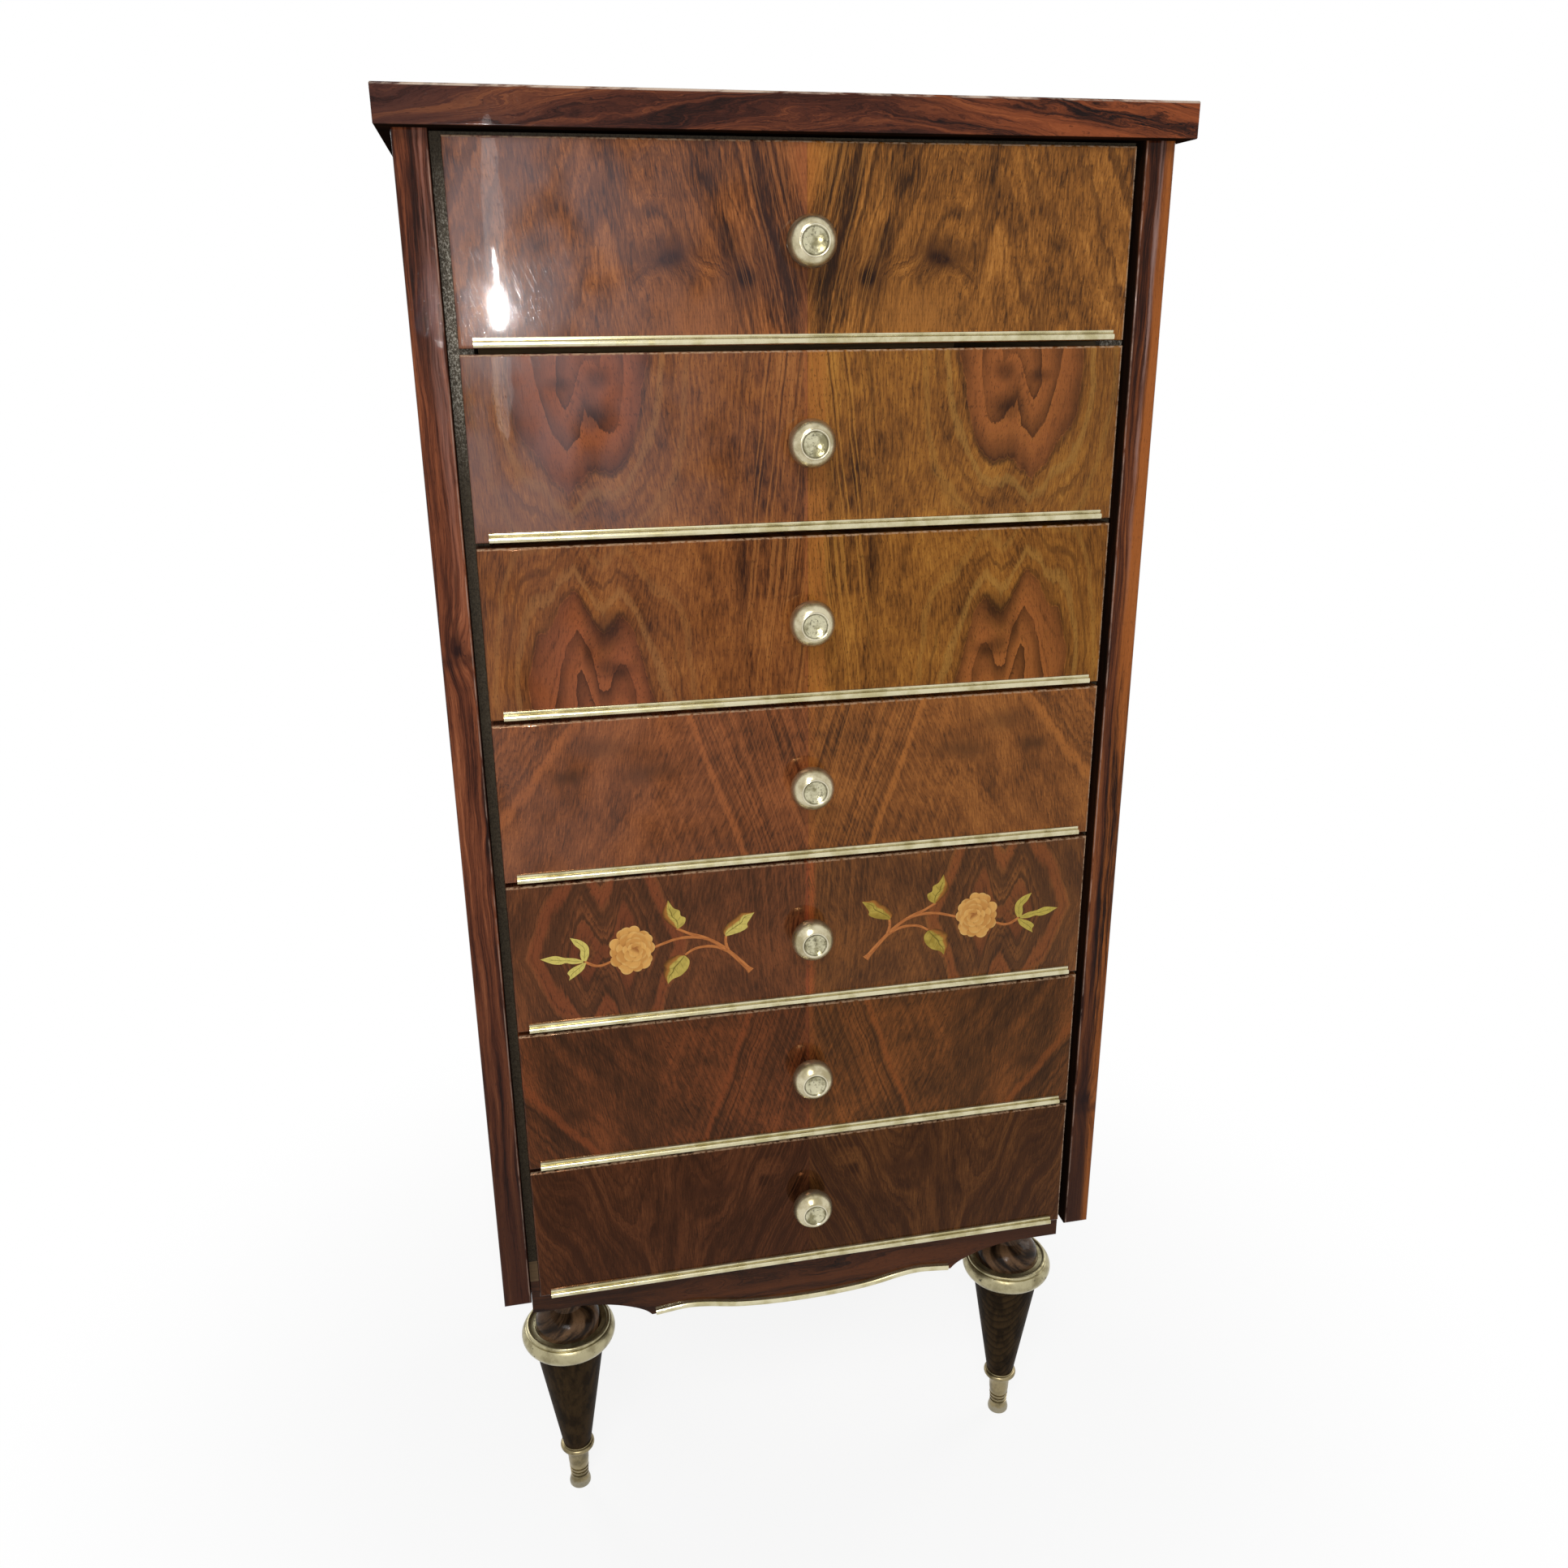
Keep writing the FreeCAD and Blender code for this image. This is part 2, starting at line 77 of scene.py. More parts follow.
def paint(red, green, blue):
    """A colour written as it looks on a screen, 0 to 255."""
    channels = []
    for part in (red, green, blue):
        share = part / 255
        channels.append(share / 12.92 if share < 0.04045 else ((share + 0.055) / 1.055) ** 2.4)
    return (*channels, 1)


def by_math(operation, swapped=False):
    """A method of Socket that adds a Math node; swapped when the number comes first."""
    def method(self, other):
        values = (other, self) if swapped else (self, other)
        return self.finish.math(operation, *values)
    return method


class Socket:
    """An output in a finish. Arithmetic on it adds Math nodes."""

    __add__ = by_math("ADD")
    __radd__ = by_math("ADD", swapped=True)
    __sub__ = by_math("SUBTRACT")
    __rsub__ = by_math("SUBTRACT", swapped=True)
    __mul__ = by_math("MULTIPLY")
    __rmul__ = by_math("MULTIPLY", swapped=True)
    __truediv__ = by_math("DIVIDE")
    __pow__ = by_math("POWER")

    def __init__(self, finish, link):
        self.finish = finish
        self.link = link

    def __abs__(self):
        return self.finish.math("ABSOLUTE", self)


class Finish:
    """A node tree being drawn: a material's or the world's."""

    def __init__(self, holder):
        holder.use_nodes = True
        self.holder = holder
        self.tree = holder.node_tree
        self.tree.nodes.clear()

    def node(self, kind, settings, sockets, out=0):
        made = self.tree.nodes.new("ShaderNode" + kind)
        for key, value in settings.items():
            if key == "stops":
                lay_stops(made.color_ramp, value)
            else:
                setattr(made, key, value)
        for key, value in sockets.items():
            if isinstance(value, Socket):
                self.tree.links.new(value.link, made.inputs[key])
            else:
                made.inputs[key].default_value = value
        return Socket(self, made.outputs[out]) if made.outputs else None

    def math(self, operation, *values):
        return self.node("Math", {"operation": operation}, dict(enumerate(values)))

    def mix(self, first, second, share, how="MIX"):
        settings = {"data_type": "RGBA", "blend_type": how}
        return self.node("Mix", settings, {0: share, 6: first, 7: second}, out=2)

    def layers(self, colour, *coats):
        """Lay coats over a colour in turn; each is a colour, 0 to 255, and its share."""
        for over, share in coats:
            colour = self.mix(colour, paint(*over), share)
        return colour

    def scale(self, tone, places, tones):
        """The tones from dark to pale, each at its place on the scale."""
        stops = [(place, paint(*colour)) for place, colour in zip(places, tones)]
        return self.node("ValToRGB", {"stops": stops}, {0: tone})

    def split(self, vector):
        made = self.node("SeparateXYZ", {}, {0: vector}).link.node
        return [Socket(self, output) for output in made.outputs]

    def place(self):
        """Where a point of the piece is, as x, y and z in millimetres."""
        spot = self.node("TexCoord", {}, {}, out="Object")
        return [part / MM for part in self.split(spot)]

    def facing(self):
        """Which way the surface faces, as x, y and z."""
        return self.split(self.node("NewGeometry", {}, {}, out="Normal"))

    def blade(self):
        """How far along and across its own blade a point of the inlay is, 0 to 1."""
        return self.split(self.node("UVMap", {"uv_map": "blade"}, {}))[:2]

    def mark(self, name):
        """A value that the points of the mesh carry."""
        return self.node("Attribute", {"attribute_name": name}, {}, out="Fac")

    def between(self, value, low, high):
        """0 at low, 1 at high, smooth in between."""
        settings = {"interpolation_type": "SMOOTHSTEP"}
        return self.node("MapRange", settings, {"Value": value, "From Min": low, "From Max": high})

    def noise(self, x, y, z, detail=2, rough=0.5):
        """Uneven patches about one unit wide, 0 to 1."""
        vector = self.node("CombineXYZ", {}, {0: x, 1: y, 2: z})
        sockets = {"Vector": vector, "Scale": 1, "Detail": detail, "Roughness": rough}
        return self.node("TexNoise", {}, sockets)

    def wave(self, value, length):
        """A cosine wave with a crest where the value is 0."""
        return self.math("COSINE", value * (2 * math.pi / length))

    def peak(self, value, at, wide):
        """1 at one value, falling to 0 on both sides of it."""
        return self.between(abs(value - at), wide, 0)

    def spot(self, across, up, at, wide, tall):
        """1 in the middle of an oval, 0 outside it."""
        reach = self.math("SQRT", ((across - at[0]) / wide) ** 2 + ((up - at[1]) / tall) ** 2)
        return self.between(reach, 1, 0)

    def bump(self, height, distance, strength):
        sockets = {"Height": height, "Distance": distance, "Strength": strength}
        return self.node("Bump", {}, sockets)

    def surface(self, dull=None, **sockets):
        """Close the finish with one shader. Names are the shader's own, with _ for a space.

        Dull is where the surface has no gloss at all.
        """
        named = {key.replace("_", " "): value for key, value in sockets.items()}
        if "Specular" in named:
            named["Specular IOR Level"] = named.pop("Specular")
        shader = self.node("BsdfPrincipled", {}, named)
        if dull is not None:
            plain = {"Base Color": named["Base Color"], "Roughness": 0.9, "Specular IOR Level": 0}
            matte = self.node("BsdfPrincipled", {}, plain)
            shader = self.node("MixShader", {}, {0: dull, 1: shader, 2: matte})
        self.node("OutputMaterial", {}, {"Surface": shader})
        return self.holder


def lay_stops(ramp, stops):
    """Set a ramp's stops from (place, colour) pairs in order."""
    first, last = ramp.elements
    first.position, first.color = stops[0]
    last.position, last.color = stops[-1]
    for place, colour in stops[1:-1]:
        ramp.elements.new(place).color = colour


def new_finish(name):
    """A new material's finish, and the x, y and z of a point in it."""
    f = Finish(bpy.data.materials.new(name))
    return f, *f.place()


def new_object(name, data):
    thing = bpy.data.objects.new(name, data)
    bpy.context.scene.collection.objects.link(thing)
    return thing


# Walnut figures. Each gives a field in millimetres whose level lines are the growth rings,
# how strongly they show there, and how far they tremble.


def feathered(f, across, up, seed):
    """Ragged ends that the upright fibres give to a ring that crosses them, about -1 to 1."""
    return 2 * f.noise(across / 5.5, up / 90, seed, detail=4, rough=0.7) - 1


def spreading_figure(f, across, up):
    """A V of lines round the joint that turns over into tall arches towards the ends."""
    past = f.between(across, 112, 145)
    lean = 0.26 + 0.14 * f.between(across, 40, 110) - 0.19 * past
    limb = 122 - f.math("SQRT", ((across - 122) * (1 - 0.5 * past)) ** 2 + 320)
    twin = 8 * f.wave(across - 100, 48) * f.peak(across, 124, 80)
    straight = f.between(up + 7 * feathered(f, across, up, 4), 62, 40) * f.peak(across, 76, 60)
    leaning = limb + twin - lean * up + 6 * feathered(f, across, up, 6) * f.between(across, 60, 110)
    vivid = 0.6 + 0.1 * f.between(across, 75, 30) - 0.3 * straight - 0.1 * past
    return leaning + straight * (across - leaning), vivid, 7


def flame_figure(f, across, hang, deep=8, lean=0.15):
    """Twin-tongued flames hanging from the line where hang is 0; deep is how deep the notch cuts."""
    side = abs(across - 166.5) / 49
    sway = f.wave(across - 161, 41) * f.peak(side, 0, 1.4)
    notch = sway * (deep + 13 * f.between(hang, 84, 20))
    ragged = 8 * feathered(f, across, hang, 7) * f.between(side, 1.6, 0.5)
    tilt = lean * (180 - across) * f.between(side, 1.6, 0.8)
    drop = f.math("MAXIMUM", hang + notch + ragged + tilt, 0) / (90 + 9 * side * side)
    rings = 54 * (side ** 2.2 + drop ** 2.2) ** (1 / 2.2)
    return rings, 0.26 + 0.45 * f.between(rings, 58, 50), 6


def diamond_figure(f, across, up):
    """Chevrons pointing to both ends, round twin flames that meet their image in the middle of the board."""
    hang = abs(up - 67)
    ragged = 6 * feathered(f, across, hang, 7)
    outer = abs(across - 170) + 0.35 * hang
    sway = 12 * f.wave(across - 171, 41) * f.between(outer, 60, 40)
    inner = 0.62 * hang + sway + 12 + 0.27 * (across - 151) + ragged
    rings = f.math("SMOOTH_MAX", outer, inner, 8)
    return rings, 0.22 + 0.35 * f.between(rings, 82, 68), 5


def arch_figure(f, across, rise, torn=12):
    """Steep lines near the joint and slanting, torn ones at the outer corner, with plain wood between."""
    ragged = torn * feathered(f, across, rise, 9)
    inner = 100 - across - 0.34 * (FRONT_TALL - rise)
    outer = rise + 1.3 * (across - 178) - 129 + ragged
    rings = f.math("SMOOTH_MAX", 85 + 1.5 * inner, 85 + 0.6 * outer, 6)
    return rings, 0.24 + 0.22 * f.between(rings, 80, 96), 3


def fan_figure(f, across, up):
    """Lines that fall outwards from the joint and meet others leaning in from the ends."""
    lean = 0.52 - 0.98 * f.between(across, 36, 215)
    waves = 10 * f.wave(across - 80, 62) * f.between(up, 20, 110)
    return across + lean * up + waves + 4 * feathered(f, across, up, 5), 0.62, 3.5


def walnut(number, figure, tones, marks, spots, seam, hairs, painted_reflection, gloss, flame=None):
    """Book-matched walnut under gloss lacquer; tones run from the dark lines to the pale wood.

    The figure is one of those above. Marks follow its rings: ring, half width, colour, strength.
    Spots are ovals: place across and up, half width, half height, colour, strength.
    The seam is a stripe at the joint: how far it reaches left and right, colour, strength.
    Hairs are the fine lines beside it: how they lean, strength. The next is how strongly a pale haze of
    reflected light is painted on the left half, and gloss is what lacquered takes.
    A flame is the ring it ends at and its colour; its own bands darken outwards to a hard edge.
    """
    f, x, y, z = new_finish(f"drawer_{number}_walnut")
    low, high = box_mm(f"drawer_{number}_front")
    across = abs(x)
    up = z - low.z
    seed = 13 * number
    dark, pale = tones[0], tones[-1]

    # Growth rings wander in the large and tremble in the small.
    wander = f.noise(across / 46, up / 58, seed)
    shake = f.noise(across / 10, up / 24, seed + 1, detail=4, rough=0.65)
    rings, vivid, tremble = figure(f, across, up)
    rings = rings + 12 * (wander - 0.5) + tremble * (shake - 0.5)
    grain = across + 0.35 * rings

    broad = f.noise(rings / 17, up / 240, seed + 3)
    lines = f.noise(rings / 4.2, up / 150, seed + 5, detail=4, rough=0.62)
    flecks = f.noise(grain / 1.3, up / 12, seed + 6)
    fibre = f.noise(grain / 0.7, up / 26, seed + 7, detail=3, rough=0.65)
    pores = f.noise(grain / 0.5, up / 3.6, seed + 9, detail=1)
    clouds = f.noise((across + 0.5 * rings) / 34, up / 80, seed + 11, detail=4, rough=0.6)
    patchy = f.between(clouds + 0.5 * (lines - 0.5), 0.34, 0.58)
    late = f.math("FRACT", rings / 5.6 + 1.6 * broad) ** 5 * f.between(broad, 0.36, 0.6)

    tone = 0.535 + vivid * (1.6 * (broad - 0.5) + 1.25 * (lines - 0.5) - 0.4 * late)
    tone = tone + 0.65 * (flecks - 0.5) + 0.5 * (fibre - 0.5) + 0.9 * (clouds - 0.5)
    colour = f.scale(tone, (0.22, 0.36, 0.5, 0.64, 0.82), tones)
    grainy = 0.55 + 0.9 * (flecks - 0.5) + 0.9 * (lines - 0.5)
    if flame:
        end, ember = flame
        inside = f.between(rings, end + 0.8, end - 0.8)
        darker = f.math("FRACT", 3 * rings / end + 0.02) ** 1.5
        colour = f.layers(
            colour,
            (ember, 0.85 * inside * f.between(grainy, 0, 0.6)),
            (dark, inside * darker * (0.4 + 0.45 * patchy)),
            (dark, 0.8 * f.peak(rings, end + 0.6, 2.6) * patchy),
        )
    for ring, wide, mark, strength in marks:
        edge = f.between(abs(rings - ring), wide, 0.45 * wide)
        kept = patchy if sum(mark) < DARK_MARK else f.between(grainy, 0.2, 0.6)
        colour = f.layers(colour, (mark, strength * edge * kept))
    for at_x, at_z, wide, tall, mark, strength in spots:
        uneven = f.spot(across + 9 * (shake - 0.5), up + 16 * (wander - 0.5), (at_x, at_z), wide, tall)
        colour = f.layers(colour, (mark, strength * uneven * f.between(grainy, 0.1, 0.7)))

    # Hairlines beside the joint, and the stripe along it.
    slant, strength = hairs
    near = strength * f.between(across, 82, 30)
    hair = f.noise((across + slant * up + 5 * (wander - 0.5)) / 2.3, up / 420, seed + 2)
    fine = 0.5 * near * f.between(hair, 0.55, 0.62) + 0.35 * near * f.between(hair, 0.64, 0.7)
    left_reach, right_reach, stripe, strength = seam
    swung = x + 4 * (shake - 0.5)
    in_stripe = f.between(swung, -left_reach - 2, 1 - left_reach)
    in_stripe = in_stripe * f.between(swung, right_reach + 3, right_reach - 3)
    colour = f.layers(
        colour,
        (dark, fine),
        (pale, 0.75 * near * f.between(hair, 0.45, 0.4)),
        (stripe, strength * in_stripe * f.between(fibre, 0.3, 0.58)),
        (dark, 0.55 * f.between(pores, 0.58, 0.7)),
    )

    # Painted light: the left half is tinted cooler and given a painted pale haze of reflected light,
    # as the two halves of a matched pair take the light differently.
    left = f.between(x, 0.4, -0.4)
    colour = f.mix(colour, f.mix(colour, paint(238, 222, 255), 1, "MULTIPLY"), left)
    painted_haze = painted_reflection * left * (0.1 + 0.9 * f.between(x, -20, -235)) * f.between(wander, 0.2, 0.6)

    # Painted highlight: the upper arris and the right end are painted pale in broken streaks, where a rounded
    # edge would catch the light.
    tall = high.z - low.z
    arris_glint_breakup = f.noise(x / 5, y / 3, up / 5, detail=4, rough=0.7)
    arris = f.math("MAXIMUM", f.between(up, tall - 1.8, tall - 0.7), f.between(x, high.x - 2, high.x - 1))
    arris = arris * f.between(y, low.y + 3.4, low.y + 1.8)
    colour = f.layers(
        colour,
        # painted reflection: a pale haze on the left half
        ((128, 112, 114), painted_haze),
        (dark, 0.4 * f.peak(x, 0, 0.4)),
        # painted highlight along the arris
        ((186, 154, 124), 0.9 * arris * f.between(arris_glint_breakup, 0.38, 0.58)),
    )
    return lacquered(f, colour, x, z, pores, *gloss)


def lacquered(f, colour, along, across, pores, gloss=0.08, tint=(1, 1, 1), haze=0, dull=None, crown=0):
    """Old gloss lacquer, a little uneven; haze is how far its scratches spread a bright light.

    Dull is where there is no gloss. Crown is a slow rise of the surface in millimetres, doubled
    below because the bump is laid on at half strength.
    """
    wave = f.noise(along / 26, across / 26, 2, detail=1)
    cloud = f.noise(along / 55, across / 90, 5, detail=3)
    scratch = f.noise((along + 0.4 * across) / 0.5, (across - 0.3 * along) / 26, 8)
    scratches_and_arris_light = f.between(scratch, 0.6, 0.74)
    height = 0.1 * wave + 0.012 * f.between(pores, 0.72, 0.6) - 0.008 * scratches_and_arris_light + 2 * crown
    return f.surface(
        dull,
        Base_Color=colour,
        Roughness=0.02 + 0.02 * f.between(cloud, 0.4, 0.75) + 0.04 * scratches_and_arris_light,
        Specular=gloss,
        Specular_Tint=(*tint, 1),
        Coat_Weight=haze * (0.5 + 1.5 * scratches_and_arris_light),
        Coat_Roughness=0.16,
        Normal=f.bump(height, 0.001, 0.5),
    )


def rosewood(name, along, across, depth, tones, seed, bold=1, sweep=0, glows=(), knot=None, sap=None,
             shut=None, painted_reflection=None):
    """Streaked rosewood under gloss lacquer. along, across and depth are 0, 1 or 2 for x, y, z.

    Bold is how strong the streaks are, sweep is how far they fall away at the ends of the board. Glows
    tint it along its length: start, end, colour, share. A knot is a place across and along the board.
    Sap is the pale sapwood: where it starts across the board, where it is palest, its colour, and the
    middle of its length. Shut is where a post's inner face lies; it is painted nearly black as shade and
    has no gloss. The last is a painted reflection, a pale stripe high on the board: middle, half width,
    colour, share.
    """
    f, *spots = new_finish(name)
    facing = f.facing()
    run, side = spots[along], spots[across]
    span = side + 0.45 * spots[depth] + sweep * (run / HALF_TOP) ** 2
    slow = f.noise(run / 150, span / 34, seed)
    quick = f.noise(run / 36, span / 9, seed + 1, detail=4, rough=0.65)
    calm = 0.35 if shut else 1
    streaks = span + calm * (46 * (slow - 0.5) + 9 * (quick - 0.5))
    if knot:
        streaks = streaks + 7 * f.spot(side, run, knot, 18, 40)
    broad = f.noise(streaks / 12, run / 420, seed + 2)
    lines = f.noise(streaks / 3.4, run / 160, seed + 3, detail=5, rough=0.64)
    fibre = f.noise(streaks / 0.6, run / 24, seed + 5)
    pores = f.noise(streaks / 0.45, run / 7, seed + 4, detail=1)
    tone = 0.5 + bold * (1.1 * (broad - 0.5) + (lines - 0.5)) + 0.45 * (fibre - 0.5)
    colour = f.scale(tone, (0.26, 0.4, 0.52, 0.66, 0.8), tones)
    for start, end, warm, share in glows:
        colour = f.layers(colour, (warm, share * f.between(run, start, end) * f.between(tone, 0.25, 0.6)))
    if sap:
        start, palest, pale, middle = sap
        bend = (palest - start) * ((run - middle) / 430) ** 2
        amount = f.between(side - bend + 5 * (lines - 0.5), start, palest)
        colour = f.layers(colour, (pale, 0.75 * amount * f.between(tone, 0.22, 0.62)))
    colour = f.layers(colour, ((26, 12, 10), 0.5 * f.between(pores, 0.62, 0.72)))
    # Painted reflection: a pale stripe of reflected light high on the board.
    if painted_reflection:
        middle, half, reflection_colour, share = painted_reflection
        swing = side + 7 * (slow - 0.5) + 4 * (quick - 0.5)
        amount = f.peak(swing, middle, half) * f.between(run, 860, 1080)
        colour = f.layers(colour, (reflection_colour, share * amount * f.between(lines, 0.36, 0.58)))
    if knot:
        fork = f.peak(abs(side - knot[0]) - 0.08 * (run - knot[1]), 0, 2.8)
        fork = fork * f.between(abs(run - knot[1] - 30), 44, 20)
        blot = f.spot(side + 16 * (lines - 0.5), run + 30 * (quick - 0.5), knot, 10, 16)
        blot = f.math("MAXIMUM", blot, 0.5 * f.peak(run + 14 * (quick - 0.5), knot[1] - 9, 9))
        colour = f.layers(
            colour,
            ((40, 18, 13), 0.7 * fork * f.between(lines, 0.34, 0.56)),
            ((40, 18, 14), 1.1 * blot),
        )
    # Painted shade: faces turned down, and a post's inner face, are painted nearly black below and have no
    # gloss.
    dull = f.between(facing[2], -0.5, -0.8)
    if shut:
        dull = f.math("MAXIMUM", dull, f.between(abs(side), shut + 0.9, shut + 0.3))
        # Painted highlight: a pale line along the post's inner arris.
        wear_and_arris_light = f.peak(abs(side), shut + 1.4, 0.8) * f.between(quick, 0.38, 0.58)
        scratches_and_arris_light = ((190, 160, 142), 0.55 * wear_and_arris_light)
        crown = -0.23 * ((abs(side) - shut - HALF_POST) / HALF_POST) ** 2
    else:
        top = box_mm("top_slab")[1].z
        # Painted highlight: a pale line along the slab's upper arris.
        wear_and_arris_light = f.between(spots[2], top - 2, top - 1.2) * f.between(abs(facing[2]), 0.98, 0.9)
        scratches_and_arris_light = ((206, 184, 164), 0.85 * wear_and_arris_light * f.between(quick, 0.4, 0.58))
        crown = 0
    # the last coat is painted shade, nearly black
    colour = f.layers(colour, scratches_and_arris_light, ((24, 18, 13), 0.9 * dull))
    haze = 0.06 if shut else 0.12
    return lacquered(f, colour, run, side, pores, haze=haze, dull=dull, crown=crown)


def bare_wood(name, pale, deep, shaded_to=None):
    """Planed wood without a finish. Ahead of the given depth, in millimetres, it is painted dark as shade,
    for the gaps there are in shadow; beside the upper drawers it is painted paler again as light.
    """
    f, x, y, z = new_finish(name)
    side = f.between(abs(f.facing()[0]), 0.4, 0.6)
    run = y * side + x * (1 - side)
    span = z + 0.6 * (x * side + y * (1 - side))
    slow = f.noise(run / 190, span / 40, 4)
    stripes = span + 16 * (slow - 0.5)
    lines = f.noise(stripes / 3.2, run / 260, 6, detail=4, rough=0.6)
    fibre = f.noise(stripes / 0.5, run / 14, 9)
    grime = f.noise(x / 60, y / 60, z / 60, detail=3)
    colour = f.layers(
        paint(*pale),
        (deep, 0.85 * f.between(lines, 0.4, 0.72)),
        (deep, 0.45 * f.between(fibre, 0.54, 0.74)),
        ((112, 92, 66), 0.3 * f.between(grime, 0.45, 0.85)),
    )
    # Painted shade on the front edges in the gaps, and painted light on them beside the upper drawers.
    if shaded_to is not None:
        edge = shaded_to + 9 * (fibre - 0.5)
        stained = f.between(y, edge + 3, edge - 3)
        crumbs = f.noise(x, y, z / 1.5, detail=3, rough=0.7)
        painted_light_patch = stained * f.peak(z, 1118, 120)
        colour = f.layers(
            colour,
            ((44, 37, 25), 0.92 * stained),
            ((112, 104, 90), 0.7 * painted_light_patch),
            ((188, 182, 168), (0.03 * stained + 0.8 * painted_light_patch) * f.between(crumbs, 0.52, 0.6)),
            ((26, 21, 15), 0.7 * stained * f.between(crumbs, 0.47, 0.39)),
        )
    return f.surface(
        Base_Color=colour,
        Roughness=0.62 + 0.16 * fibre,
        Specular=0.25,
        Normal=f.bump(lines + 0.6 * fibre, 0.0004, 0.5),
    )


def turned_oak():
    """Dark stained oak: straight grain on the left legs, arcs on the right ones, whirls on the domes."""
    f, x, y, z = new_finish("turned_dark_oak")
    low, high = box_mm("front_right_leg")
    back = box_mm("back_right_leg")[1]
    middle_y = (low.y + back.y) / 2
    reach_y = middle_y - (low.y + high.y) / 2
    aside = abs(x) - (low.x + high.x) / 2
    ahead = abs(y - middle_y) - reach_y
    right = f.between(x, -1, 1)
    slow = f.noise(x / 60, y / 60, z / 160)
    shake = f.noise(x / 9, y / 9, z / 22, detail=3)
    trunk = f.math("SQRT", (aside + 5) ** 2 + (ahead - 46) ** 2)
    upright = trunk / 9 + 3 * (slow - 0.5)
    facing = 0.8 * ahead - 0.6 * aside
    arched = (z + 3.6 * facing + 34 * (slow - 0.5) + 9 * (shake - 0.5)) / 15
    growth = f.math("FRACT", upright + right * (arched - upright) + 40)
    pores = f.noise((aside + ahead) / 0.6, (aside - ahead) / 0.9, z / 9, detail=1)
    late = (0.3 + 0.4 * right) * (growth ** 2.5 + 0.6 * f.between(growth, 0.12, 0))
    colour = f.layers(
        paint(66, 50, 30),
        ((42, 31, 18), f.between(shake, 0.4, 0.64)),
        ((22, 15, 8), late),
    )
    dome = f.between(z, DOME_FOOT - 1, DOME_FOOT + 1)
    around = f.math("ARCTAN2", aside, ahead)
    whirl = f.noise(1.7 * around + z / 13 + 2 * slow, z / 30, 7, detail=4, rough=0.6)
    whirled = f.layers(paint(34, 23, 15), ((126, 95, 68), f.between(whirl, 0.4, 0.66)))
    colour = f.mix(colour, whirled, 0.9 * dome)
    colour = f.layers(colour, ((18, 12, 8), 0.6 * f.between(pores, 0.58, 0.7)))
    return f.surface(
        0.8 - 0.7 * dome,
        Base_Color=colour,
        Roughness=0.16 + 0.12 * f.between(pores, 0.5, 0.7),
        Specular=0.12,
        Normal=f.bump(0.5 * f.between(pores, 0.7, 0.58) + 0.3 * growth, 0.0002, 0.5),
    )


def brass(name, bright, wear_and_arris_light, pits, rough):
    """Pale brass, dulled unevenly; pits is how much of it is chipped. Pitted feet have silvery toes."""
    f, x, y, z = new_finish(name)
    cloud = f.noise(x / 18, y / 18, z / 18, detail=4, rough=0.6)
    speck = f.noise(x / 1.5, y / 1.5, z / 1.5, rough=0.6)
    chip = f.noise(x / 4.2, y / 4.2, z / 4.2, detail=3, rough=0.6)
    hole = pits * f.between(chip, 0.66, 0.7)
    colour = f.layers(
        paint(*bright),
        (wear_and_arris_light, f.between(cloud, 0.4, 0.66)),
        ((92, 82, 52), (0.12 + 0.2 * pits) * f.between(speck, 0.6, 0.74)),
        ((40, 34, 22), 0.85 * hole),
    )
    if pits:
        toe = f.between(z + 5 * (chip - 0.5), 9, 6)
        colour = f.layers(colour, ((156, 152, 138), 0.5 * toe))
    return f.surface(
        Base_Color=colour,
        Metallic=0.9 - 0.6 * hole,
        Roughness=rough + 0.1 * f.between(cloud, 0.38, 0.7) + 0.25 * hole,
        Normal=f.bump((0.1 + 0.3 * pits) * speck - 1.6 * hole, 0.00016, 0.5),
    )


def knob_brass():
    """The knobs' metal, silvery and satin on the round, pitted and yellowed in the hollow."""
    f, x, y, z = new_finish("knob_brass")
    out, ahead = f.mark("out"), f.mark("ahead")
    hollow = f.between(out, 10.2, 9.5) * f.between(ahead, 17, 19)
    ring = f.peak(out, 10.5, 0.8) * f.between(ahead, 24, 25.4)
    cloud = f.noise(x / 13, y / 13, z / 13, detail=4, rough=0.6)
    speck = f.noise(x / 2.4, y / 2.4, z / 2.4, detail=3, rough=0.7)
    lathe = f.noise(out / 0.3, ahead / 0.3, 3, detail=1)
    colour = f.layers(
        paint(212, 202, 170),
        ((170, 158, 122), f.between(cloud, 0.36, 0.66)),
        # painted shade: darker towards the drawer face, behind the ball
        ((96, 88, 64), 0.6 * f.between(ahead, 9, 2)),
    )
    inner = f.layers(paint(206, 200, 168), ((138, 131, 98), f.between(cloud, 0.42, 0.62)))
    colour = f.layers(
        f.mix(colour, inner, hollow),
        # painted shade in the crease where the hollow meets the ring, also standing for patina there
        ((74, 66, 42), 0.7 * hollow * f.peak(out, 9.3, 0.8)),
        ((66, 60, 40), f.between(speck, 0.54, 0.66) * (0.08 + 0.6 * hollow)),
        # painted highlight along the raised ring
        ((232, 226, 204), 0.7 * ring),
    )
    return f.surface(
        Base_Color=colour,
        Metallic=0.88,
        Roughness=0.15 + 0.12 * cloud - 0.06 * ring,
        Normal=f.bump(0.2 * lathe + speck * (0.2 + 0.9 * hollow), 0.00022, 0.6),
    )


def steel():
    f, x, y, z = new_finish("screw_steel")
    cloud = f.noise(x / 3, y / 3, z / 3, detail=3)
    return f.surface(
        Base_Color=f.mix(paint(176, 176, 172), paint(122, 120, 114), cloud),
        Metallic=1,
        Roughness=0.3 + 0.2 * cloud,
    )


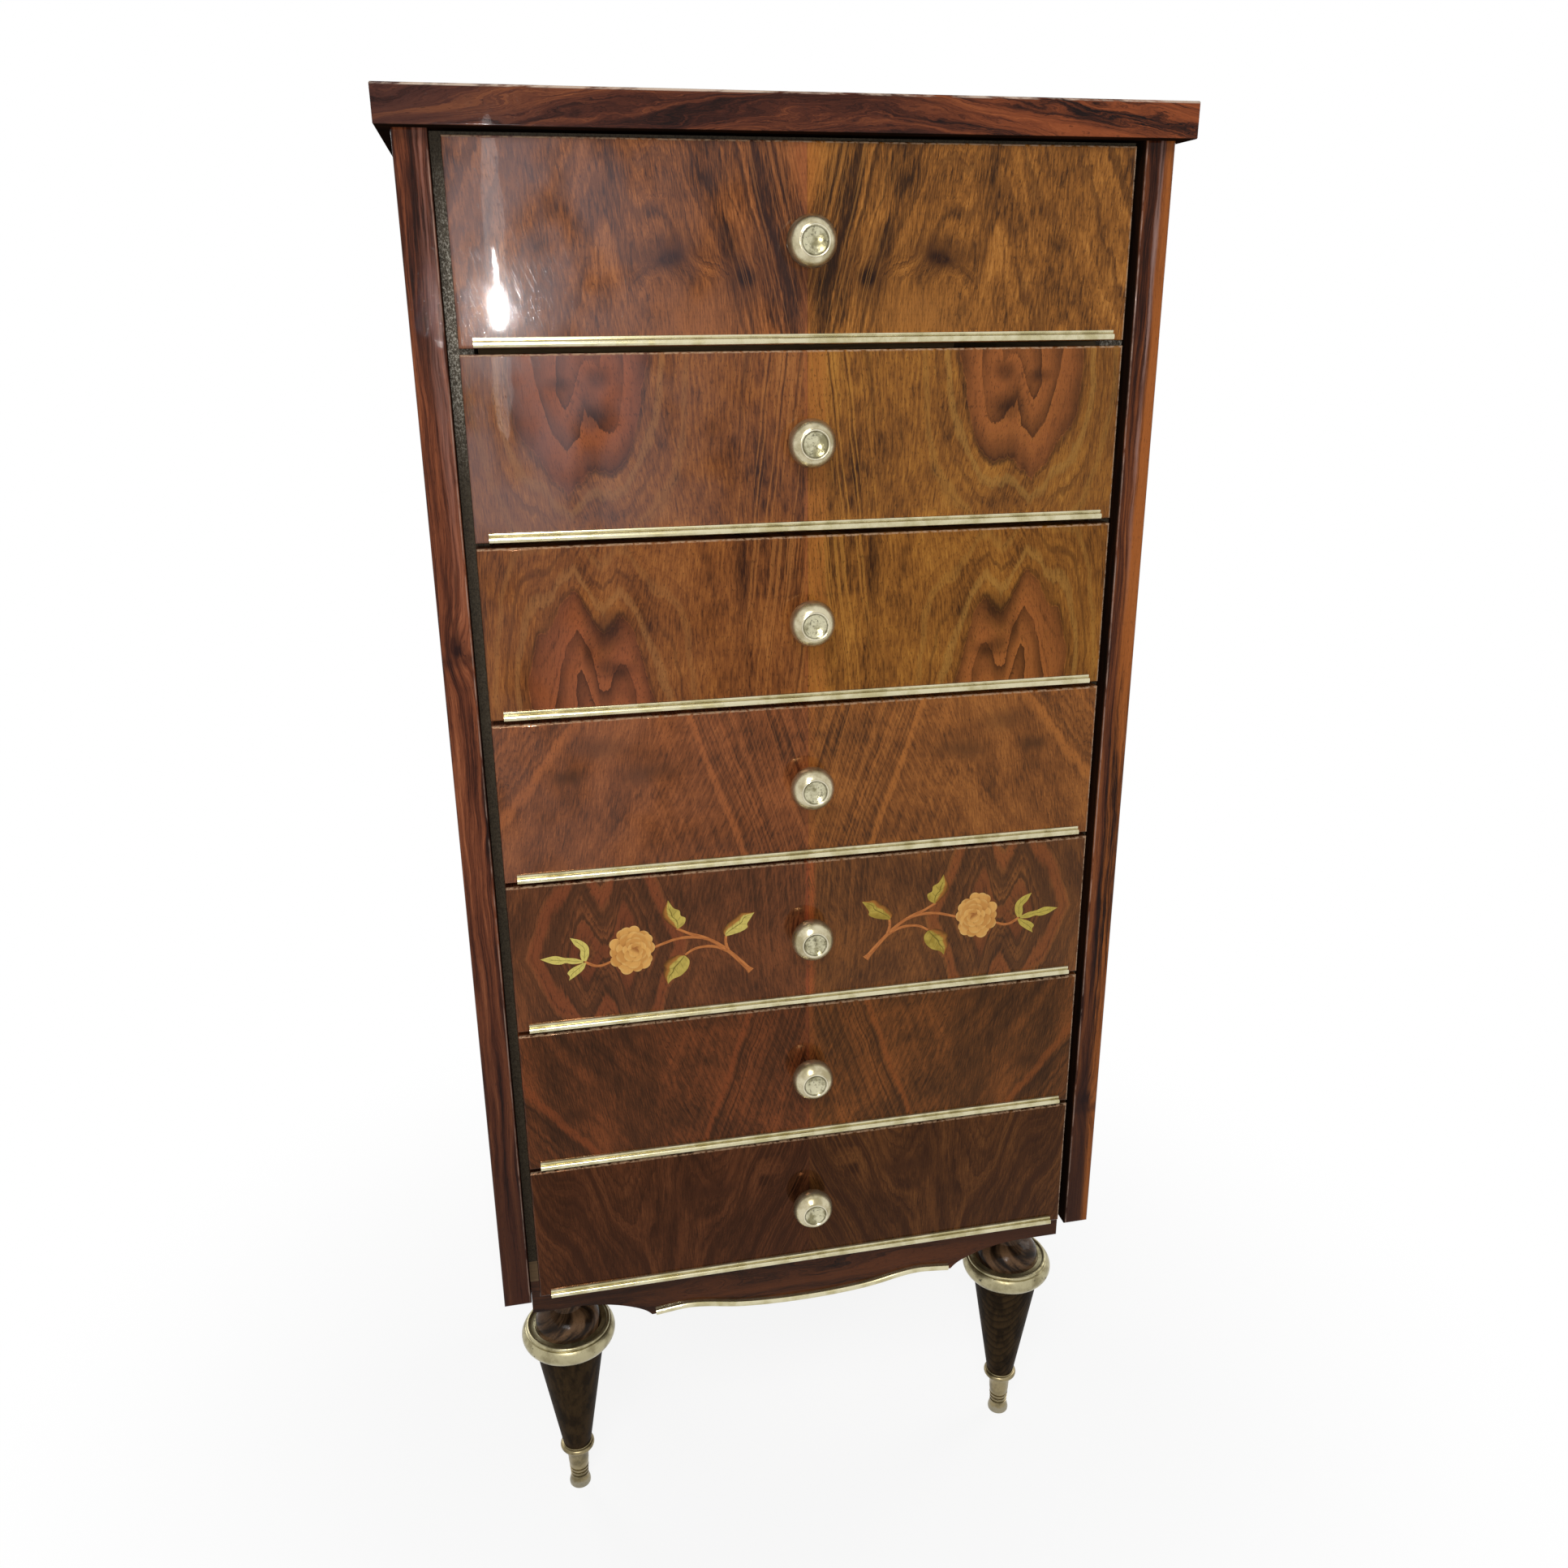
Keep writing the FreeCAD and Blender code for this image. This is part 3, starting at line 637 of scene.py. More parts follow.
def flower_veneer():
    """Yellow inlay; every petal is scorched darker towards its base."""
    f, x, y, z = new_finish("flower_inlay_veneer")
    tip = f.mark("tip")
    grain = f.noise(x / 0.7, z / 9, 3)
    colour = f.layers(
        paint(224, 168, 92),
        ((204, 144, 74), f.between(f.mark("tone"), 0, 1)),
        ((158, 96, 46), 0.9 * f.between(tip, 0.6, 0.12)),
        ((226, 184, 112), 0.6 * f.between(tip, 0.74, 0.98)),
        ((186, 128, 64), 0.4 * f.between(grain, 0.52, 0.74)),
    )
    return lacquered(f, colour, x, z, grain)


def leaf_veneer():
    """Green-dyed inlay with a midrib and fine side veins; all but the outer leaves have a scorched edge."""
    f, x, y, z = new_finish("leaf_inlay_veneer")
    along, span = f.blade()
    from_rib = abs(span - 0.5) * 2
    grain = f.noise(x / 0.6, z / 7, 5)
    patch = f.noise(x / 9, z / 9, 2)
    outer = f.between(abs(x), 150, 180)
    left = f.between(x, 0.4, -0.4)
    sunny = f.math("MAXIMUM", outer, f.between(abs(x), 82, 74))
    edge = span + 0.2 * (patch - 0.5)
    rib = f.between(from_rib, 0.09, 0.03) * f.between(along, 0.97, 0.8)
    branch = f.math("FRACT", along * 5 - 0.9 * from_rib)
    veins = f.between(abs(branch - 0.5), 0.09, 0.02) * f.between(from_rib, 0.85, 0.5)
    colour = f.layers(
        paint(190, 164, 74),
        ((158, 132, 52), f.between(patch, 0.36, 0.66)),
        ((202, 182, 86), 0.7 * outer),
        ((226, 210, 118), left * (0.25 + 0.35 * sunny)),
        ((164, 100, 44), 0.9 * f.between(edge, 0.62, 0.76) * (1 - outer)),
        ((84, 48, 22), 0.9 * f.between(edge, 0.78, 1) * (1 - outer)),
        ((96, 84, 30), 0.75 * rib),
        ((110, 98, 36), 0.45 * veins),
        ((122, 112, 42), 0.4 * f.between(grain, 0.52, 0.74)),
    )
    return lacquered(f, colour, x, z, grain)


def stem_veneer():
    f, x, y, z = new_finish("stem_inlay_veneer")
    along, span = f.blade()
    grain = f.noise(span * 9, along * 6, 5, detail=3)
    colour = f.layers(
        paint(202, 128, 70),
        ((154, 88, 46), f.between(grain, 0.38, 0.66)),
        ((96, 50, 24), 0.6 * f.between(span, 0.24, 0)),
    )
    return lacquered(f, colour, x, z, grain)


# Shapes


def smooth_run(points, steps):
    """A smooth line through the points, with steps pieces between neighbours."""
    ends = [points[0], *points, points[-1]]
    run = []
    for a, b, c, d in zip(ends, ends[1:], ends[2:], ends[3:]):
        for k in range(steps):
            t = k / steps
            spot = []
            for p, q, r, s in zip(a, b, c, d):
                curve = 2 * q + (r - p) * t + (2 * p - 5 * q + 4 * r - s) * t * t
                spot.append(0.5 * (curve + (3 * q - p - 3 * r + s) * t ** 3))
            run.append(tuple(spot))
    run.append(tuple(points[-1]))
    return run


def round_run(middle, radius, start, end, steps):
    """Points on an arc; angles in degrees."""
    run = []
    for k in range(steps + 1):
        turn = math.radians(start + (end - start) * k / steps)
        run.append((middle[0] + radius * math.cos(turn), middle[1] + radius * math.sin(turn)))
    return run


def dress(mesh, name, body, material, replaced=()):
    """Put a finished mesh on a body, in place of the named solids."""
    mesh.materials.clear()
    mesh.materials.append(material)
    piece = new_object(name, mesh)
    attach(piece, body)
    if replaced:
        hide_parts(*replaced)


def closed_mesh(name, shape, crease=35):
    """Merge doubles, turn the faces outwards and shade smooth up to a crease angle."""
    bmesh.ops.remove_doubles(shape, verts=shape.verts, dist=1e-7)
    bmesh.ops.recalc_face_normals(shape, faces=shape.faces)
    mesh = bpy.data.meshes.new(name)
    shape.to_mesh(mesh)
    shape.free()
    mesh.shade_smooth()
    mesh.set_sharp_from_angle(angle=math.radians(crease))
    return mesh


def turned_mesh(name, profile, place, sides=96):
    """Turn (radius, height) points in millimetres about Z, then set the piece in its place.

    The points keep their radius and height as out and ahead.
    """
    shape = bmesh.new()
    out = shape.verts.layers.float.new("out")
    ahead = shape.verts.layers.float.new("ahead")
    rings = []
    for radius, height in profile:
        ring = []
        for k in range(sides if radius > 1e-6 else 1):
            turn = 2 * math.pi * k / sides
            vert = shape.verts.new((radius * MM * math.cos(turn), radius * MM * math.sin(turn), height * MM))
            vert[out], vert[ahead] = radius, height
            ring.append(vert)
        rings.append(ring if len(ring) > 1 else ring * sides)
    for low, high in zip(rings, rings[1:]):
        for k in range(sides):
            corners = list(dict.fromkeys((low[k - 1], low[k], high[k], high[k - 1])))
            if len(corners) > 2:
                shape.faces.new(corners)
    bmesh.ops.transform(shape, matrix=place, verts=shape.verts)
    return closed_mesh(name, shape)


def knob_profile():
    """Flattened ball on a short neck, with a raised ring round a hollow face."""
    ball = []
    for k in range(25):
        turn = math.radians(-66 + (51.3 + 66) * k / 24)
        ball.append((18 * math.cos(turn), 14.8 + 14 * math.sin(turn)))
    rim = [(11.1, 25.75), (10.9, 26.05), (10.5, 26.2), (10.1, 26.05), (9.8, 25.6)]
    hollow = []
    for k in range(1, 13):
        radius = 9.8 * (1 - k / 12)
        hollow.append((radius, 22.7 + 2.9 * (radius / 9.8) ** 2.2))
    return [(0, 0), (8, 0), (8, 1.2), *ball, *rim, *hollow]


def leg_profile():
    """A waisted neck, a dome, and a shaft that tapers into the foot."""
    neck = smooth_run([(20, 258.4), (15.6, 249), (13.2, 238), (13.2, 229), (14.6, 223.4)], 6)
    dome = smooth_run([(14.6, 223.4), (23.6, 219.6), (29.6, 212.6), (32.1, 203.2)], 8)
    shaft = [(32.1, 200.2), (33.6, 200.2), (33.6, 182), (13.9, 55.5), (13.4, 55.5), (13.4, 48.5), (0, 48.5)]
    return [(0, 258.4), *neck, *dome[1:], *shaft]


def collar_profile():
    """A fat ring, a groove, a smaller bead inside it on top, and a flat ledge round the dome."""
    ring = round_run((34.3, 193.4), 10.5, -79, 46, 24)
    bead = round_run((38.3, 202), 2.3, -25, 150, 16)
    return [(33.65, 183.06), *ring, (40.6, 200.9), *bead, (35.8, 203), (32.2, 203.4), (32.2, 200.4),
            (33.65, 200.4), (33.65, 183.06)]


def sabot_profile():
    """A beaded cup, a waist with turned grooves and a small round sole."""
    bead = round_run((14, 51.1), 2.8, 86, -84, 14)
    cup = [(13.45, 55.4), (14.2, 55.2), (14.6, 54.6), *bead, (13.4, 47.6), (12.2, 46.6), (11.2, 45)]
    waist = [(10.6, 43.1), (10.2, 35), (9.9, 29), (9.5, 25.4)]
    grooves = []
    for height, radius in ((23, 9.3), (18.5, 8.9), (14, 8.7)):
        grooves += [(radius, height + 1.6), (radius + 0.2, height + 1), (radius - 1.1, height + 0.5),
                    (radius - 1.1, height - 0.5), (radius + 0.2, height - 1), (radius, height - 1.6)]
    toe = smooth_run([(8.7, 11.8), (9.2, 9), (10.2, 5.6), (10.6, 3.2), (10.4, 1), (9.6, 0)], 5)
    return [(0, 48.4), (13.45, 48.4), *cup, *waist, *grooves, *toe, (0, 0)]


def set_legs(oak, metal, foot_metal):
    """Four turned legs, each with its collar and its foot."""
    for row in ("front", "back"):
        for hand in ("left", "right"):
            name = f"{row}_{hand}_leg"
            low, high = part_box(name)
            place = Matrix.Translation(((low.x + high.x) / 2, (low.y + high.y) / 2, 0))
            pieces = (
                (name, leg_profile(), oak, "dark_oak"),
                (name + "_collar", collar_profile(), metal, "brass"),
                (name + "_foot", sabot_profile(), foot_metal, "brass"),
            )
            for node, profile, material, slot in pieces:
                mesh = turned_mesh("turned_" + node, profile, place)
                dress(mesh, "turned_" + node, "case", material, [node])


def set_knobs(metal, screw_metal):
    """Every knob, and its screw from inside the drawer."""
    head = [(0, 31.4), (2.4, 31.4), (3.6, 30.6), (4, 29.6), (4, 28.8), (2, 28.8), (2, -9), (0, -9)]
    for number in DRAWERS:
        low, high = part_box(f"drawer_{number}_knob")
        middle = (low.z + high.z) / 2
        ahead = Matrix.Translation((0, FACE, middle)) @ Matrix.Rotation(math.pi / 2, 4, "X")
        inward = Matrix.Translation((0, FACE, middle)) @ Matrix.Rotation(-math.pi / 2, 4, "X")
        name = f"knob_of_drawer_{number}"
        mesh = turned_mesh(name, knob_profile(), ahead, sides=72)
        dress(mesh, name, f"drawer_{number}", metal, [f"drawer_{number}_knob"])
        name = f"knob_screw_of_drawer_{number}"
        mesh = turned_mesh(name, head, inward, sides=24)
        dress(mesh, name, f"drawer_{number}", screw_metal)


def new_tree(name, kinds, result):
    """A node tree, the keys of its inputs, and what adds a node and links its sockets by their names."""
    tree = bpy.data.node_groups.new(name, "GeometryNodeTree")
    keys = {}
    for socket, kind in kinds.items():
        made = tree.interface.new_socket(socket, in_out="INPUT", socket_type="NodeSocket" + kind)
        keys[socket] = made.identifier
    tree.interface.new_socket(result, in_out="OUTPUT", socket_type="NodeSocketGeometry")

    def add(kind, family="GeometryNode", **links):
        made = tree.nodes.new(family + kind)
        for key, source in links.items():
            tree.links.new(source, made.inputs[key.replace("_", " ")])
        return made

    return tree, keys, add


def close_tree(add, grown, finish, result):
    """Make the grown pieces real, give them their finish and hand them over."""
    real = add("RealizeInstances", Geometry=grown)
    done = add("SetMaterial", Geometry=real.outputs[0], Material=finish)
    add("GroupOutput", "Node", **{result: done.outputs[0]})


def strip_tree():
    """Sweeps a profile along a path, both given as edges."""
    kinds = {"Path": "Geometry", "Profile": "Object", "Height": "Float", "Depth": "Float",
             "Finish": "Material"}
    tree, keys, add = new_tree("brass_strip", kinds, "Strip")
    given = add("GroupInput", "Node").outputs
    size = add("CombineXYZ", "ShaderNode", X=given["Depth"], Y=given["Height"])
    size.inputs["Z"].default_value = 1
    drawn = add("ObjectInfo", Object=given["Profile"])
    sized = add("Transform", Geometry=drawn.outputs["Geometry"], Scale=size.outputs[0])
    section = add("MeshToCurve", Mesh=sized.outputs[0])
    path = add("MeshToCurve", Mesh=given["Path"])
    upright = add("SetCurveNormal", Curve=path.outputs[0])
    upright.mode = "Z_UP"
    swept = add("CurveToMesh", Curve=upright.outputs[0], Profile_Curve=section.outputs[0])
    swept.inputs["Fill Caps"].default_value = True
    close_tree(add, swept.outputs[0], given["Finish"], "Strip")
    return tree, keys


def wire(name, points, closed):
    """An object of edges through the points."""
    count = len(points)
    edges = [(k, (k + 1) % count) for k in range(count if closed else count - 1)]
    mesh = bpy.data.meshes.new(name)
    mesh.from_pydata(points, edges, [])
    return new_object(name, mesh)


def grown_mesh(name, thing, grower, **values):
    """What a node tree makes of an object, as a plain mesh; the object goes."""
    tree, keys = grower
    modifier = thing.modifiers.new("grow", "NODES")
    modifier.node_group = tree
    for key, value in values.items():
        modifier[keys[key]] = value
    bpy.context.view_layer.update()
    seen = thing.evaluated_get(bpy.context.evaluated_depsgraph_get())
    mesh = bpy.data.meshes.new_from_object(seen)
    mesh.name = name
    thing.modifiers.clear()
    bpy.data.objects.remove(thing)
    return mesh


def finished(mesh, crease):
    """A grown mesh with its seams closed."""
    shape = bmesh.new()
    shape.from_mesh(mesh)
    return closed_mesh(mesh.name, shape, crease)


def set_trims(metal):
    """The reeded strip under every drawer front and the plain one along the apron's bow.

    A profile is 1 deep and 1 tall, and is sized to its strip.
    """
    strip = strip_tree()
    band = [(0, 1), (0.36, 1), (0.46, 0.965), (0.48, 0.91), (0.48, 0.8), (0.43, 0.775), (0.48, 0.75),
            (0.48, 0.7), (0.42, 0.665)]
    bead = round_run((0.685, 0.315), 0.315, 90, -90, 14)
    reeded = wire("reeded_profile", [(x, -y, 0) for x, y in [*band, *bead, (0, 0)]], True)
    swell = [(0.25 + 0.75 * x, 0.5 + 0.5 * y) for x, y in round_run((0, 0), 1, 90, -90, 15)]
    plain = wire("plain_profile", [(x, -y, 0) for x, y in [(0, 1), *swell, (0, 0)]], True)

    def lay(name, body, node, points, profile, tall, crease):
        low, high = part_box(node)
        mesh = grown_mesh(name, wire("path", points, False), strip, Profile=profile, Height=tall,
                          Depth=high.y - low.y, Finish=metal)
        dress(finished(mesh, crease), name, body, metal, [node])

    for number in DRAWERS:
        node = f"drawer_{number}_trim"
        low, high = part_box(node)
        path = [(x, FACE, low.z) for x in (low.x, 0, high.x)]
        lay(f"reeded_trim_of_drawer_{number}", f"drawer_{number}", node, path, reeded, high.z - low.z, 28)
    half = [(0, 228.5), (30, 229.2), (64, 232), (95, 237.8), (112, 239.6), (126, 238.7), (143, 236.7)]
    bow = smooth_run([(-x, z) for x, z in reversed(half)] + half[1:], 6)
    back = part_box("apron_trim")[1].y
    path = [(x * MM, back, z * MM) for x, z in bow]
    lay("bowed_trim_of_apron", "case", "apron_trim", path, plain, BOW_TALL, 40)
    for profile in (reeded, plain):
        bpy.data.objects.remove(profile)


# Camera, lamps and floor


def set_camera():
    right, down, roll = CAMERA_TURN
    turn = Matrix.Rotation(-right, 4, "Z") @ Matrix.Rotation(math.pi / 2 - down, 4, "X")
    lens = bpy.data.cameras.new("camera")
    lens.sensor_width = SENSOR
    lens.lens = LENS
    camera = new_object("camera", lens)
    camera.matrix_world = Matrix.Translation(CAMERA_AT) @ turn @ Matrix.Rotation(-roll, 4, "Z")
    bpy.context.scene.camera = camera


def lamp(name, at, towards, size, watts, shape="RECTANGLE"):
    light = bpy.data.lights.new(name, "AREA")
    light.shape = shape
    light.size, light.size_y = size
    light.energy = watts
    thing = new_object(name, light)
    thing.location = at
    thing.rotation_euler = (Vector(towards) - Vector(at)).to_track_quat("-Z", "Y").to_euler()


def seen_directly(f):
    """1 for what is seen by eye, in a reflection or through glass; 0 for light falling on things."""
    path = f.node("LightPath", {}, {}).link.node
    rays = ("Camera", "Glossy", "Transmission")
    eye, glossy, through = [Socket(f, path.outputs[f"Is {ray} Ray"]) for ray in rays]
    return f.math("MAXIMUM", f.math("MAXIMUM", eye, glossy), through)


def set_studio():
    scene = bpy.context.scene
    scene.view_settings.view_transform = "Standard"
    scene.world = bpy.data.worlds.new("studio")
    f = Finish(scene.world)
    strength = SKY_LIGHT + (1 - SKY_LIGHT) * seen_directly(f)
    sky = f.node("Background", {}, {"Color": (1, 1, 1, 1), "Strength": strength})
    f.node("OutputWorld", {}, {"Surface": sky})
    lamp("key", (-0.55, -1.75, 2.35), (0, FACE, 0.75), (0.8, 0.8), 21)
    by_lens = FACE - 0.99
    lamp("flash", (-0.2116, by_lens, 1.131), (-0.1, FACE, 0.95), (0.018, 0.056), 2.8, "ELLIPSE")
    lamp("flare", (-0.2116, by_lens, 1.168), (-0.1, FACE, 1), (0.007, 0.085), 0.5, "ELLIPSE")
    lamp("streak", (-0.211, by_lens, 1.16), (-0.1, FACE, 1), (0.032, 0.42), 0.5, "ELLIPSE")
    lamp("fill", (1.9, 0.6, 1.6), (0, 0, 0.7), (0.9, 1.2), 10)
    lamp("back", (-1.3, 2.3, 2), (0, 0.2, 0.7), (1, 1), 14)

    mesh = bpy.data.meshes.new("floor")
    corners = [(-FLOOR, -FLOOR, 0), (FLOOR, -FLOOR, 0), (FLOOR, FLOOR, 0), (-FLOOR, FLOOR, 0)]
    mesh.from_pydata(corners, [], [(0, 1, 2, 3)])
    floor = new_object("floor", mesh)
    f, x, y, z = new_finish("pale_floor")
    away = f.math("SQRT", x * x + y * y)
    matte = f.node("BsdfDiffuse", {}, {"Color": (0.93, 0.93, 0.93, 1)})
    white = f.node("Emission", {}, {"Color": (1, 1, 1, 1), "Strength": 1})
    wiped = FLOOR_WHITE + (1 - FLOOR_WHITE) * f.between(away, 260, 900)
    shader = f.node("MixShader", {}, {0: wiped * seen_directly(f), 1: matte, 2: white})
    f.node("OutputMaterial", {}, {"Surface": shader})
    mesh.materials.append(f.holder)


# Marquetry. Points are millimetres from the middle of the lower edge of the drawer front.

FLOWER_AT = (150, 66)
PETAL_ROWS = (   # petals, reach, petal radius, shift towards the stem, first turn
    (14, 16.2, 5.2, 0, 0),
    (10, 10.8, 5.6, 1.2, 0.3),
    (7, 6.2, 4.9, 2.2, 0.1),
    (4, 2.6, 4.3, 2.8, 0.5),
)
LEAVES = {   # the lower edge, then the upper, scorched one, from stalk to tip
    "near": ([(71.4, 70), (65, 71.2), (57.8, 73.2), (52.6, 76.4), (53, 79.4), (50.6, 83.5), (46.6, 89.5)],
             [(71.4, 70), (73.8, 75), (69, 81.8), (63.5, 85.8), (58.6, 90.2), (53, 90), (46.6, 89.5)]),
    "high": ([(111.7, 81), (106, 85), (104.6, 90.4), (108.6, 93), (109.4, 97.6), (114.4, 100.6),
              (118.6, 107.9)],
             [(111.7, 81), (117, 85.2), (121.4, 90), (123.7, 97), (121, 103.2), (118.6, 107.9)]),
    "low": ([(106.2, 56), (102.6, 51), (104.2, 44), (110, 38), (117.2, 35.2), (121.4, 31.1)],
            [(106.2, 56), (113, 57.2), (121, 53.6), (124.6, 49.6), (123.6, 46.2), (124.8, 40),
             (121.4, 31.1)]),
    "tip_up": ([(191.4, 60.6), (192.6, 65.4), (192.4, 71), (196.4, 75.4), (200, 82.5)],
               [(188, 60), (185.4, 66), (185.8, 73.6), (191.4, 79.4), (200, 82.5)]),
    "tip_out": ([(190.4, 58.8), (198.6, 58.6), (204.6, 60.2), (209, 59.4), (216, 60.8), (225, 65.7)],
                [(190.4, 60.8), (197.4, 63.8), (205, 65), (213.6, 67.6), (225, 65.7)]),
    "tip_down": ([(188, 58.8), (190.6, 52.9), (196.8, 47.8), (203, 43.9)],
                 [(190.6, 58.6), (199.2, 55.2), (203.8, 51), (202.2, 47.6), (203, 43.9)]),
}
STEMS = (   # points, width at the start and at the end
    ([(53, 38.2), (57.6, 43.4), (68, 54.8), (79, 64.4), (90.4, 71.4), (101, 75.4), (112.4, 81.6)], 4.2, 2.2),
    ([(86, 69.2), (95, 71.8), (105, 72.6), (114, 71.8), (122, 69.6), (132, 66.4)], 3, 2.2),
    ([(70, 56.4), (78, 60.6), (86, 62.4), (94, 62.2), (100, 60.4), (106, 56.6)], 3, 2),
    ([(69.6, 57), (71.4, 64), (71.2, 70.6)], 3, 2.2),
    ([(166, 57.6), (171.2, 56), (176, 54.6), (182, 55.4), (189.4, 59.6)], 2.2, 2.6),
    ([(50.4, 35.2), (54.2, 39.4)], 6.4, 3.9),
)
PROUD, STEMS_PROUD = 0.03, 0.018   # how far the inlay stands off the drawer face
NEXT_UP = 0.004   # how much higher each petal or leaf lies than the one before; half of it for stems
LEAF_GRID, STEM_GRID = (30, 6), (24, 3)   # faces along and across


def even_run(points, count):
    """count + 1 points spaced evenly along a smooth line through the points."""
    run = smooth_run(points, 12)
    reach = [0]
    for a, b in zip(run, run[1:]):
        reach.append(reach[-1] + math.dist(a, b))
    spots = []
    k = 0
    for step in range(count + 1):
        goal = reach[-1] * step / count
        while k < len(run) - 2 and reach[k + 1] < goal:
            k += 1
        share = (goal - reach[k]) / max(reach[k + 1] - reach[k], 1e-9)
        spots.append(tuple(p + (q - p) * share for p, q in zip(run[k], run[k + 1])))
    return spots


def blade(shape, uv, low, high, lift, hand, foot, rows):
    """A flat piece between two edges. Its UV runs along and across it."""
    grid = []
    for a, b in zip(low, high):
        line = []
        for k in range(rows + 1):
            x = a[0] + (b[0] - a[0]) * k / rows
            z = a[1] + (b[1] - a[1]) * k / rows
            line.append(shape.verts.new((hand * x * MM, FACE - lift * MM, foot + z * MM)))
        grid.append(line)
    count = len(grid) - 1
    for i in range(count):
        for k in range(rows):
            corners = [(i, k), (i + 1, k), (i + 1, k + 1), (i, k + 1)]
            face = shape.faces.new([grid[a][b] for a, b in corners])
            for loop, (a, b) in zip(face.loops, corners):
                loop[uv].uv = (a / count, b / rows)


def stem_edges(points, wide, fine, steps):
    """The lower and upper edge of a stem that goes from one width to another."""
    centre = even_run(points, steps)
    low, high = [], []
    for k, (x, z) in enumerate(centre):
        a = centre[max(k - 1, 0)]
        b = centre[min(k + 1, len(centre) - 1)]
        run = math.dist(a, b)
        half = 0.5 * (wide + (fine - wide) * k / (len(centre) - 1))
        side = ((a[1] - b[1]) / run * half, (b[0] - a[0]) / run * half)
        low.append((x - side[0], z - side[1]))
        high.append((x + side[0], z + side[1]))
    return low, high


def flat_mesh(name, shape):
    """Face the thin pieces to the front."""
    for face in shape.faces:
        face.normal_update()
        if face.normal.y > 0:
            face.normal_flip()
    mesh = bpy.data.meshes.new(name)
    shape.to_mesh(mesh)
    shape.free()
    return mesh


def set_sprays(leaf_finish, stem_finish):
    """The leaves and stems of both sprays; each blade lies a hair above the one before."""
    foot = foot_of(MARQUETRY)
    steps, rows = LEAF_GRID
    leaves = [(even_run(low, steps), even_run(high, steps), PROUD + NEXT_UP * k, rows)
              for k, (low, high) in enumerate(LEAVES.values())]
    steps, rows = STEM_GRID
    stems = [(*stem_edges(*stem, steps), STEMS_PROUD + NEXT_UP / 2 * k, rows) for k, stem in enumerate(STEMS)]
    kinds = (("leaves", leaves, leaf_finish, "leaf_inlay"), ("stems", stems, stem_finish, "stem_inlay"))
    for kind, blades, material, slot in kinds:
        shape = bmesh.new()
        uv = shape.loops.layers.uv.new("blade")
        for hand in (-1, 1):
            for low, high, lift, rows in blades:
                blade(shape, uv, low, high, lift, hand, foot, rows)
        name = "marquetry_" + kind
        node = f"drawer_{MARQUETRY}_inlaid_{kind}"
        dress(flat_mesh(name, shape), name, f"drawer_{MARQUETRY}", material, [node])


def petal(sides=24):
    """A flat round petal whose tip is at +X; tip runs from its base to its tip."""
    shape = bmesh.new()
    mark = shape.verts.layers.float.new("tip")
    rings = [[shape.verts.new((0, 0, 0))]]
    rings[0][0][mark] = 0.5
    for reach in (0.35, 0.7, 0.9, 1):
        ring = []
        for k in range(sides):
            turn = 2 * math.pi * k / sides
            vert = shape.verts.new((reach * math.cos(turn), 0, reach * math.sin(turn)))
            vert[mark] = 0.5 + 0.5 * reach * math.cos(turn)
            ring.append(vert)
        rings.append(ring)
    for k in range(sides):
        shape.faces.new((rings[0][0], rings[1][k], rings[1][k - 1]))
        for low, high in zip(rings[1:], rings[2:]):
            shape.faces.new((low[k - 1], low[k], high[k], high[k - 1]))
    return new_object("petal", flat_mesh("petal", shape))


def flower_tree():
    """Sets a petal on every point, turned and sized by the point's own values."""
    kinds = {"Points": "Geometry", "Petal": "Object", "Unit": "Float", "Finish": "Material"}
    tree, keys, add = new_tree("overlapping_petals", kinds, "Flower")

    def value(name):
        made = add("InputNamedAttribute")
        made.data_type = "FLOAT"
        made.inputs["Name"].default_value = name
        return made.outputs["Attribute"]

    given = add("GroupInput", "Node").outputs
    drawn = add("ObjectInfo", Object=given["Petal"])
    turn = add("CombineXYZ", "ShaderNode", Y=value("turn"))
    size = add("Math", "ShaderNode")
    size.operation = "MULTIPLY"
    tree.links.new(value("size"), size.inputs[0])
    tree.links.new(given["Unit"], size.inputs[1])
    scattered = add("InstanceOnPoints", Points=given["Points"], Instance=drawn.outputs["Geometry"],
                    Rotation=turn.outputs[0], Scale=size.outputs[0])
    close_tree(add, scattered.outputs[0], given["Finish"], "Flower")
    return tree, keys


def set_flowers(material):
    foot = foot_of(MARQUETRY)
    points, turns, sizes, tones = [], [], [], []
    for hand in (-1, 1):
        lift = PROUD
        for count, reach, size, shift, first in PETAL_ROWS:
            for k in range(count):
                turn = 2 * math.pi * k / count + first + 0.12 * math.sin(2.1 * k + reach)
                far = reach * (1 + 0.05 * math.cos(2.7 * k + 1.3 * reach))
                x = FLOWER_AT[0] - shift + 0.86 * far * math.cos(turn)
                z = FLOWER_AT[1] + 1.03 * far * math.sin(turn)
                points.append((hand * x * MM, FACE - lift * MM, foot + z * MM))
                turns.append(-turn if hand > 0 else turn - math.pi)
                sizes.append(size * (1 + 0.09 * math.sin(3.3 * k + reach)))
                tones.append(0.5 + 0.5 * math.sin(2.4 * k + 1.7 * reach))
                lift += NEXT_UP
    thing = wire("petal_points", points, False)
    for name, values in (("turn", turns), ("size", sizes), ("tone", tones)):
        thing.data.attributes.new(name, "FLOAT", "POINT").data.foreach_set("value", values)
    one = petal()
    name = "marquetry_flowers"
    mesh = grown_mesh(name, thing, flower_tree(), Petal=one, Unit=MM, Finish=material)
    bpy.data.objects.remove(one)
    node = f"drawer_{MARQUETRY}_inlaid_flowers"
    dress(mesh, name, f"drawer_{MARQUETRY}", material, [node])


